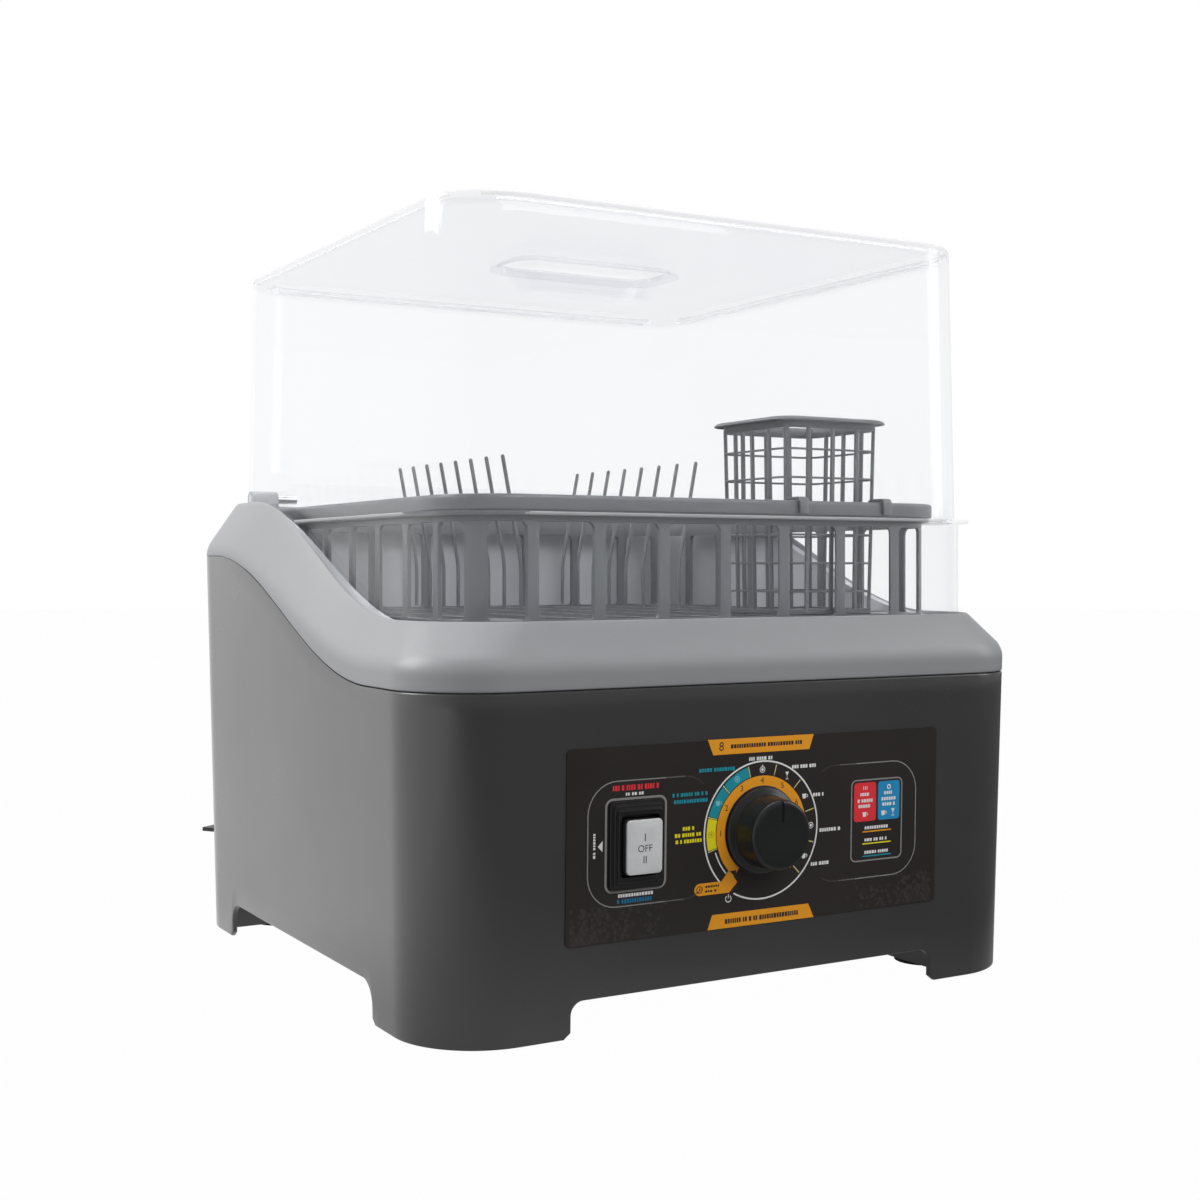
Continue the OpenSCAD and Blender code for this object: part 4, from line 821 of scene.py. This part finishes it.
piece("cutlery_holder", cutlery_basket(), "basket", "rack_plastic",
      ["basket_floor", "basket_uprights", "basket_bands", "basket_rim", "basket_hooks"], 40)


# ---- the front panel
COS, SIN = math.cos(DRAFT), math.sin(DRAFT)


def front(x, z, w):
    """A point w millimetres out of the casing's front face."""
    return (x, -casing_half(z) - w * COS, z - w * SIN)


def front_at(cx, cz):
    """Maps a feature's own x, y and outward z to the front face."""
    def place(u, v, w):
        return (cx + u, -casing_half(cz) - v * SIN - w * COS, cz + v * COS - w * SIN)
    return place


def put(place, shape):
    """A shape moved by a place function."""
    verts, faces = shape
    return [place(*v) for v in verts], faces


# ---- knob and rocker switch
DIAL = (-2.0, 95.8)  # x and z of the knob's axis
SWITCH = (-80.1, 94.8)  # x and z of the switch's middle


def lathe(profile, sides=128):
    """A turned shape from its radii and heights."""
    return loft([[(r * math.cos(a), r * math.sin(a), w) for a in circle(sides)] for r, w in profile])


def cut(ob, tool):
    """Takes a tool's shape out of an object."""
    modifier = ob.modifiers.new("cut", "BOOLEAN")
    modifier.object = tool
    modifier.solver = "EXACT"
    bpy.context.view_layer.update()
    mesh = bpy.data.meshes.new_from_object(ob.evaluated_get(bpy.context.evaluated_depsgraph_get()))
    ob.modifiers.clear()
    ob.data = mesh
    bpy.data.objects.remove(tool)
    mesh.set_sharp_from_angle(angle=math.radians(SHARP))


knob_profile = [(4.6, 4.4), (4.6, 1.5), (6.2, 1.5), (6.2, 3.3), (15.8, 3.3), (16, 3.1), (16, 1.15),
                (16.2, 0.95), (22.3, 0.95), (22.8, 1.15), (23, 1.6), (23, 2.7), (22.8, 3.1), (22.2, 3.5),
                (20.2, 4.1), (19.5, 4.5), (19.25, 5.1), (18.62, 16.4), (18.45, 17.6), (18, 18.6),
                (17.3, 19.2), (16.4, 19.45), (15.4, 19.5), (9, 19.5), (3, 19.5)]
knob = piece("programme_knob", put(front_at(*DIAL), lathe(knob_profile)),
             "dial", "knob_plastic", ["timer_knob"])
GROOVE_HALF_W, GROOVE_HALF_L, GROOVE_MID = 0.75, 7.5, 14.5
groove = loft([level(GROOVE_HALF_W * k, GROOVE_HALF_L, 0.7 * k, w, corner=6, side=1)
               for k, w in [(0.6, 18.6), (1, 18.8), (1, 21)]])
groove = put(lambda x, y, z: front_at(*DIAL)(x, y + GROOVE_MID, z), groove)
tool = bpy.data.meshes.new("groove")
tool.from_pydata([tuple(c * MM for c in p) for p in groove[0]], [], groove[1])
groove = bpy.data.objects.new("groove", tool)
scene.collection.objects.link(groove)
cut(knob, groove)


TERMINAL_PITCH = 10
PIN_R, PIN_W, PIN_HALF = 2, 1, 11.7  # the rocker's pivot: radius, place and half length


def switch_loft(rings):
    """A shape over rounded rectangles, each with half sizes, corner radius and height."""
    return loft([level(*ring, corner=6, side=2) for ring in rings])


def switch_body():
    """Three steps round the rocker's well, and the body with its terminals behind the panel."""
    rings = [(12, 18, 1, -24), (12, 18, 1, 0.6), (15.8, 22.3, 2.3, 0.6), (16, 22.5, 2.4, 0.8),
             (16, 22.5, 2.4, 1.9), (15.7, 22.2, 2.2, 2.2), (14.7, 20.7, 1.9, 2.25), (14.5, 20.4, 1.8, 2.4),
             (14.5, 20.4, 1.8, 3.5), (14.2, 20.1, 1.6, 3.8), (13.2, 18.6, 1.4, 3.85), (13, 18.3, 1.4, 4.0),
             (13, 18.3, 1.4, 5.1), (12.7, 18, 1.2, 5.4), (11.7, 16.1, 1, 5.4), (11.2, 15.5, 0.9, 5.1),
             (11, 15.3, 0.8, 4.4), (11, 15.3, 0.8, -9)]
    parts = [switch_loft(rings)]
    for i in (-1, 0, 1):
        blade = [level(3 * k, 0.4 * k, 0.2 * k, w, corner=2, side=1)
                 for k, w in [(0.6, -34), (1, -33.2), (1, -23.5)]]
        parts.append(loft([[(x, y + TERMINAL_PITCH * i, w) for x, y, w in ring] for ring in blade]))
    return merge(*parts)


piece("switch_surround", put(front_at(*SWITCH), switch_body()), "base", "black_plastic", ["switch_housing"])
rocker = [(10, 13.4, 1.4, -2), (10.5, 13.9, 1.8, -1.5), (10.5, 13.9, 1.9, 7.4), (10.2, 13.6, 1.9, 7.9),
          (9.8, 13.2, 1.8, 8.25)]
pin = loft([[(x, PIN_R * math.cos(a), PIN_W + PIN_R * math.sin(a)) for a in circle(24)]
            for x in (-PIN_HALF, PIN_HALF)])
piece("switch_button", put(front_at(*SWITCH), merge(switch_loft(rocker), pin)),
      "rocker", "black_plastic", ["switch_rocker"])
plate = [(9.9, 13.3, 1.9, 8.25), (10.4, 13.8, 2.3, 8.3), (10.45, 13.85, 2.3, 9.0), (10.2, 13.6, 2.2, 9.35),
         (9.8, 13.2, 2.0, 9.48), (6, 8, 1.5, 9.5)]
piece("switch_plate", put(front_at(*SWITCH), switch_loft(plate)), "rocker", "rocker_metal", ["rocker_plate"])


# ---- printing
INK = 0.62  # height of the ink over the casing's front
FLECKS, ICON, ON_TOP = -0.02, 0.02, 0.03  # lifts of the flecks, the icons and words on a printed ground
inks = {}


def ink(mat, shape, lift=0.0):
    """Adds a printed shape, a polygon in X and Z, to the ink of one colour."""
    verts, faces = inks.setdefault((mat.name, round(lift, 3)), ([], [], mat))[:2]
    start = len(verts)
    verts += [front(x, z, INK + lift) for x, z in shape]
    for i, j, k in tessellate_polygon([[Vector((x, z, 0)) for x, z in shape]]):
        (xi, zi), (xj, zj), (xk, zk) = shape[i], shape[j], shape[k]
        turn = (xj - xi) * (zk - zi) - (zj - zi) * (xk - xi)
        faces.append(tuple(start + n for n in ((i, j, k) if turn > 0 else (i, k, j))))


def sector(mat, cx, cz, r0, r1, a0, a1, lift=0.0):
    """A piece of a ring. Angles run clockwise from the top."""
    n = max(2, math.ceil(abs(a1 - a0) / 4))
    angles = [math.radians(a0 + (a1 - a0) * i / n) for i in range(n + 1)]
    for a, b in zip(angles, angles[1:]):
        corners = [(r0, a), (r1, a), (r1, b), (r0, b)]
        ink(mat, [(cx + r * math.sin(t), cz + r * math.cos(t)) for r, t in corners], lift)


def disc(mat, x, z, r, lift=0.0):
    ink(mat, [(x + r * math.cos(a), z + r * math.sin(a)) for a in circle(16)], lift)


def bar(mat, x0, z0, x1, z1, lift=0.0, r=0.0):
    if r:
        ink(mat, [((x0 + x1) / 2 + x, (z0 + z1) / 2 + z)
                  for x, z in round_rect(abs(x1 - x0) / 2, abs(z1 - z0) / 2, r, 4, 2)], lift)
    else:
        ink(mat, [(x0, z0), (x1, z0), (x1, z1), (x0, z1)], lift)


def frame_line(mats, x0, z0, x1, z1, r, t, open_x=None):
    """A thin rounded outline. Where it is open, it fades out through the materials towards open_x."""
    cx, cz = (x0 + x1) / 2, (z0 + z1) / 2
    outer = round_rect((x1 - x0) / 2, (z1 - z0) / 2, r, 8, 14)
    inner = round_rect((x1 - x0) / 2 - t, (z1 - z0) / 2 - t, r - t, 8, 14)
    for i in range(len(outer)):
        j = (i + 1) % len(outer)
        mid = cx + (outer[i][0] + outer[j][0]) / 2
        mat = mats[0]
        if open_x is not None:
            far = (open_x - mid) * (1 if open_x > cx else -1)
            if far < 0:
                continue
            mat = mats[0] if far > 22 else mats[1] if far > 12 else mats[2]
        ink(mat, [(cx + x, cz + z) for x, z in (outer[i], outer[j], inner[j], inner[i])])


def words(mat, x0, x1, z, h=1.9, lift=0.0, upright=False):
    """A row of small blocks that stands for a line of words."""
    at = x0
    while at < x1 - 0.9:
        w = min(x1 - at, 0.9 + 0.7 * rng.random())
        if upright:
            bar(mat, z - h / 2, at, z + h / 2, at + w, lift)
        else:
            bar(mat, at, z - h / 2, at + w, z + h / 2, lift)
        at += w + (0.4 if rng.random() < 0.86 else 1.3)


def glyphs(text, size):
    """Flat letters as points and faces round the origin."""
    data = bpy.data.curves.new("glyphs", "FONT")
    data.body, data.size = text, size
    data.align_x, data.align_y = "CENTER", "CENTER"
    holder = bpy.data.objects.new("glyphs", data)
    scene.collection.objects.link(holder)
    bpy.context.view_layer.update()
    flat = holder.to_mesh()
    verts = [(v.co.x, v.co.y) for v in flat.vertices]
    faces = []
    for face in flat.polygons:
        loop = list(face.vertices)
        faces.append(tuple(loop if face.normal.z > 0 else reversed(loop)))
    holder.to_mesh_clear()
    bpy.data.objects.remove(holder)
    return verts, faces


def number(mat, text, x, z, size, lift=ON_TOP):
    store, faces = inks.setdefault((mat.name, lift), ([], [], mat))[:2]
    flat, loops = glyphs(text, size)
    faces += [tuple(len(store) + i for i in loop) for loop in loops]
    store += [front(x + u, z + v, INK + lift) for u, v in flat]


cx, cz = DIAL
NUMBER_R, ICON_R = 26.3, 32.4


def at_number(r, k):
    """A place round the dial, at number k."""
    a = math.radians(-120 + 30 * k)
    return cx + r * math.sin(a), cz + r * math.cos(a)


for a in (-105, -75, -45, -15, 15, 45, 75, 105, 135):
    sector(LEMON, cx, cz, 29.6, 35.4, a - 0.5, a + 0.5)
# the thinnest ring, round the knob's foot, is a painted highlight of its base flange
for mat, r0, r1, a0, a1 in [(WHITE, 36.2, 37.1, -134, 136), (WHITE, 36.2, 37.1, 136, 209),
                            (YELLOW, 29.5, 35.2, -104, -76), (TEAL, 29.5, 35.2, -74, -46),
                            (TEAL, 29.5, 35.2, -44, -16), (ORANGE, 23.7, 29.0, -143, 139),
                            (WHITE, 30.6, 31.4, -133, -108), (FLANGE_HIGHLIGHT, 23.25, 23.6, 0, 360)]:
    sector(mat, cx, cz, r0, r1, a0, a1)
for k in range(1, 9):
    number(DARK, str(k), *at_number(NUMBER_R, k), 4.4)


def cup_icon(mat, x, z):
    ink(mat, [(x - 1.6, z + 1.2), (x - 1.2, z - 1.4), (x + 0.8, z - 1.4), (x + 1.2, z + 1.2)], ICON)
    sector(mat, x + 1.4, z, 0.5, 0.9, 0, 180, ICON)


def plate_icon(mat, x, z):
    sector(mat, x, z, 1.3, 1.75, 0, 360, ICON)
    disc(mat, x, z, 0.8, ICON)


def glass_icon(mat, x, z):
    ink(mat, [(x - 1.2, z + 2), (x - 0.2, z), (x + 0.2, z), (x + 1.2, z + 2)], ICON)
    bar(mat, x - 0.15, z - 1.8, x + 0.15, z + 0.2, ICON)
    bar(mat, x - 0.9, z - 2.1, x + 0.9, z - 1.75, ICON)


def watch_icon(mat, x, z):
    plate_icon(mat, x, z - 0.2)
    bar(mat, x - 0.35, z + 1.7, x + 0.35, z + 2.3, ICON)


# an icon at each number, between it and the outer line
for k, (icon, mat) in enumerate([(plate_icon, PALE_LEMON), (cup_icon, PALE_TEAL), (plate_icon, PALE_TEAL),
                                 (watch_icon, WHITE), (glass_icon, WHITE), (cup_icon, WHITE),
                                 (plate_icon, WHITE), (cup_icon, WHITE)], 1):
    icon(mat, *at_number(ICON_R, k))

# the start tab with its clock, and the mark for off below it
CLOCK_X, CLOCK_Z, TAB_R = -41.2, 67.6, 3.2
tab = [(CLOCK_X + u, CLOCK_Z + v) for u, v in (polar(TAB_R, a) for a in range(90, 271, 15))]
ink(ORANGE, tab + [(-22.6, 64.4), (-17.4, 69.4), (-22.6, 76.4), (-27.4, 70.8)])
ink(DARK, [(-22.0, 75.6), (-18.2, 75.9), (-18.6, 72.0)], ON_TOP)
sector(DARK, CLOCK_X, CLOCK_Z, 1.5, 1.9, 0, 360, ON_TOP)
bar(DARK, -41.35, 67.5, -41.05, 68.7, ON_TOP)
bar(DARK, -41.2, 67.4, -40.3, 67.7, ON_TOP)
words(DARK, -37.6, -28, 68.8, 1.2, ON_TOP)
words(DARK, -37.6, -30, 66.4, 1.2, ON_TOP)
sector(WHITE, -23, 61.2, 1.5, 2.0, 35, 325)
bar(WHITE, -23.25, 61.4, -22.75, 63.6)

# the two banners
ink(ORANGE, [(-37.0, 145.5), (31.8, 145.2), (28.9, 137.2), (-33.6, 137.3)])
ink(ORANGE, [(-33.1, 53.6), (29.4, 53.4), (33.1, 45.6), (-36.0, 45.9)])
number(DARK, "8", -28.4, 141.4, 6.6)
words(DARK, -22.5, 25.5, 141.3, 2.1, ON_TOP)
words(DARK, -25, 22.5, 49.3, 2.5, ON_TOP)

# rows of words round the dial
for mat, x0, x1, z in [(WHITE, -10.7, 4.7, 134.0), (WHITE, 17.4, 34.4, 128.2), (WHITE, 31.8, 38.8, 112.2),
                       (WHITE, 36.4, 51, 92.6), (WHITE, 30.8, 44, 74.6), (TEAL, -42.2, -19.6, 129.7),
                       (TEAL, -58.5, -36.2, 117.9), (TEAL, -57.5, -36.2, 114.4),
                       (YELLOW, -52, -45, 100.2), (YELLOW, -56.8, -40.2, 96.9), (YELLOW, -56.3, -40.2, 93.6)]:
    words(mat, x0, x1, z)

# the frames left and right, and the switch's surroundings
frame_line((GREY, GREY_2, GREY_3), -108.7, 63.5, -34, 127.8, 17, 0.6, -40)
frame_line((GREY, GREY_2, GREY_3), 30, 63.5, 104.2, 127.6, 17, 0.6, 38)
frame_line((GREY,), -98.5, 70.9, -61.8, 118.9, 4.5, 1.2)
words(RED, -94.2, -66.5, 123.9, 2.7)
words(WHITE, -86.5, -74.7, 120.6, 1.5)
words(WHITE, -90.4, -69.7, 69.2, 1.7)
words(BLUE_DIM, -91.1, -70.1, 66.3, 2.2)
words(WHITE, 89.4, 101.9, -104.6, 1.3, 0, True)
ink(WHITE, [(-102.6, 95.2), (-99.8, 98.0), (-99.8, 92.4)])

# the legend
frame_line((GREY,), 57.9, 72.8, 94.2, 118.3, 3.5, 0.8)
bar(RED, 60, 95, 75.5, 116.5, 0, 1.8)
bar(BLUE, 76.8, 95, 92.2, 116.5, 0, 1.8)
for x, rows in [(67.75, (109.9, 106.4, 103.4)), (84.5, (109.9, 106.6, 103.6))]:
    for row, half in zip(rows, (3.4, 5.2, 4.6)):
        words(WHITE, x - half, x + half, row, 1.8, ON_TOP)
for k in (-1, 0, 1):
    bar(WHITE, 67.6 + k * 1.2, 112.4, 68 + k * 1.2, 114.4, ON_TOP)
sector(WHITE, 84.5, 113.2, 0.7, 1.4, 0, 360, ON_TOP)
cup_icon(WHITE, 67.6, 98.9)
cup_icon(WHITE, 80.8, 98.9)
glass_icon(WHITE, 87.6, 98.9)
for mat, z in [(ORANGE, 89.2), (YELLOW, 82.5), (TEAL, 75.6)]:
    bar(mat, 66.3, z - 0.35, 86.4, z + 0.35)
    words(WHITE, 67.7, 84.4, z + 2.1, 1.7)


def triangles(x0, x1, outward):
    """A scatter of small faint triangles that thins out upwards and towards the middle."""
    side, high, rows, foot = 3.0, 2.6, 7, 46.6
    for row in range(rows):
        for col in range(int((x1 - x0) / side * 2)):
            x, z = x0 + col * side / 2, foot + row * high
            reach = (x - x0) / (x1 - x0) if outward > 0 else (x1 - x) / (x1 - x0)
            if rng.random() > 1.05 * reach * (1 - row / (rows + 1)) + 0.15 * reach:
                continue
            up = (row + col) % 2
            low_z, top_z = (z, z + high) if up else (z + high, z)
            corners = [(x + 0.2, low_z), (x + side - 0.2, low_z), (x + side / 2, top_z)]
            ink(rng.choice((FLECK_1, FLECK_2)), corners, FLECKS)


triangles(-119, -56, -1)
triangles(52, 115.5, 1)
for index, ((name, lift), (verts, faces, mat)) in enumerate(sorted(inks.items(), key=lambda item: item[0])):
    piece(f"{name}_{index}", (verts, faces), "base", "label_film", print_mat=mat)

MARK_W = 9.53  # just over the switch's plate
marks = [put(lambda u, v, z=z: front_at(*SWITCH)(u, v + z, MARK_W), glyphs(text, size))
         for text, z, size in (("I", 4.6, 5.6), ("OFF", -0.9, 5.0), ("II", -6.6, 5.4))]
piece("switch_marks", merge(*marks), "rocker", "label_film", print_mat=DARK)

# ---- studio
# the surroundings light the object from behind and the left; straight on, and through the lid, they are white
world = bpy.data.worlds.new("studio")
scene.world = world
world.use_nodes = True
nodes = world.node_tree.nodes
nodes.clear()
output = add(nodes, "ShaderNodeOutputWorld")
path = add(nodes, "ShaderNodeLightPath")
level_of = rise(nodes, "Generated", (-0.5, 0.82, 0.28), -0.15, 0.85, 0.3, 1.05)
around_light = add(nodes, "ShaderNodeBackground", Color=(1, 1, 1, 1))
join(level_of, "Result", around_light, "Strength")
seen = add(nodes, "ShaderNodeBackground", Color=(1, 1, 1, 1), Strength=1.0)
through = compute(nodes, "GREATER_THAN", (path, "Transmission Depth"), 0.5)
direct = compute(nodes, "MAXIMUM", (path, "Is Camera Ray"), (through, "Value"))
mix = add(nodes, "ShaderNodeMixShader")
join(direct, "Value", mix, "Fac")
join(around_light, "Background", mix, 1)
join(seen, "Background", mix, 2)
join(mix, "Shader", output, "Surface")


def lamp(name, place, target, size, power):
    """A soft rectangular lamp that points at its target."""
    data = bpy.data.lights.new(name, "AREA")
    data.shape = "RECTANGLE"
    data.size, data.size_y = size
    data.energy = power
    ob = bpy.data.objects.new(name, data)
    scene.collection.objects.link(ob)
    ob.location = place
    ob.rotation_euler = (Vector(target) - Vector(place)).to_track_quat("-Z", "Y").to_euler()
    return ob


lamp("lamp_left", (-2.3, 1.25, 1.9), (0, 0, 0.2), (1.6, 1.8), 58)
lamp("lamp_front", (0.35, -1.9, 1.5), (0, 0, 0.3), (1.8, 0.8), 22).visible_glossy = False
lamp("lamp_top", (0.2, 0.3, 2.6), (0, 0, 0.2), (2.0, 2.0), 22)
lamp("lamp_right", (1.25, -0.75, 0.75), (0.2, -0.2, 0.22), (0.5, 0.9), 4)

FLOOR_R = 9  # metres
FLOOR_GLOW = 0.985  # the floor's own white; the rest shows the shadow
bpy.ops.mesh.primitive_circle_add(vertices=96, radius=FLOOR_R, fill_type="NGON", location=(0, 0, 0))
floor = bpy.context.object
floor.name = "floor"
# seen straight on or in a reflection the floor glows white; in the casing's gloss it darkens to the front
mat = bpy.data.materials.new("floor")
mat.use_nodes = True
nodes = mat.node_tree.nodes
nodes.clear()
output = add(nodes, "ShaderNodeOutputMaterial")
path = add(nodes, "ShaderNodeLightPath")
paper = add(nodes, "ShaderNodeBsdfDiffuse", Color=(0.16, 0.16, 0.16, 1))
glow = add(nodes, "ShaderNodeEmission", Color=(1, 1, 1, 1))
shade = rise(nodes, "Object", (-0.62, 0.78, 0.0), -0.35, 0.25, 0.1, 1.0)
strength = add(nodes, "ShaderNodeMix", data_type="FLOAT")
before_lid = compute(nodes, "LESS_THAN", (path, "Transmission Depth"), 0.5)
outside = compute(nodes, "MULTIPLY", (path, "Is Glossy Ray"), (before_lid, "Value"))
join(outside, "Value", strength, 0)
strength.inputs[2].default_value = 1.0
join(shade, "Result", strength, 3)
join(strength, 0, glow, "Strength")
seen = compute(nodes, "MAXIMUM", (path, "Is Camera Ray"), (path, "Is Transmission Ray"))
any_seen = compute(nodes, "MAXIMUM", (seen, "Value"), (path, "Is Glossy Ray"))
share = compute(nodes, "MULTIPLY", (any_seen, "Value"), FLOOR_GLOW)
mix = add(nodes, "ShaderNodeMixShader")
join(share, "Value", mix, "Fac")
join(paper, "BSDF", mix, 1)
join(glow, "Emission", mix, 2)
join(mix, "Shader", output, "Surface")
floor.data.materials.append(mat)
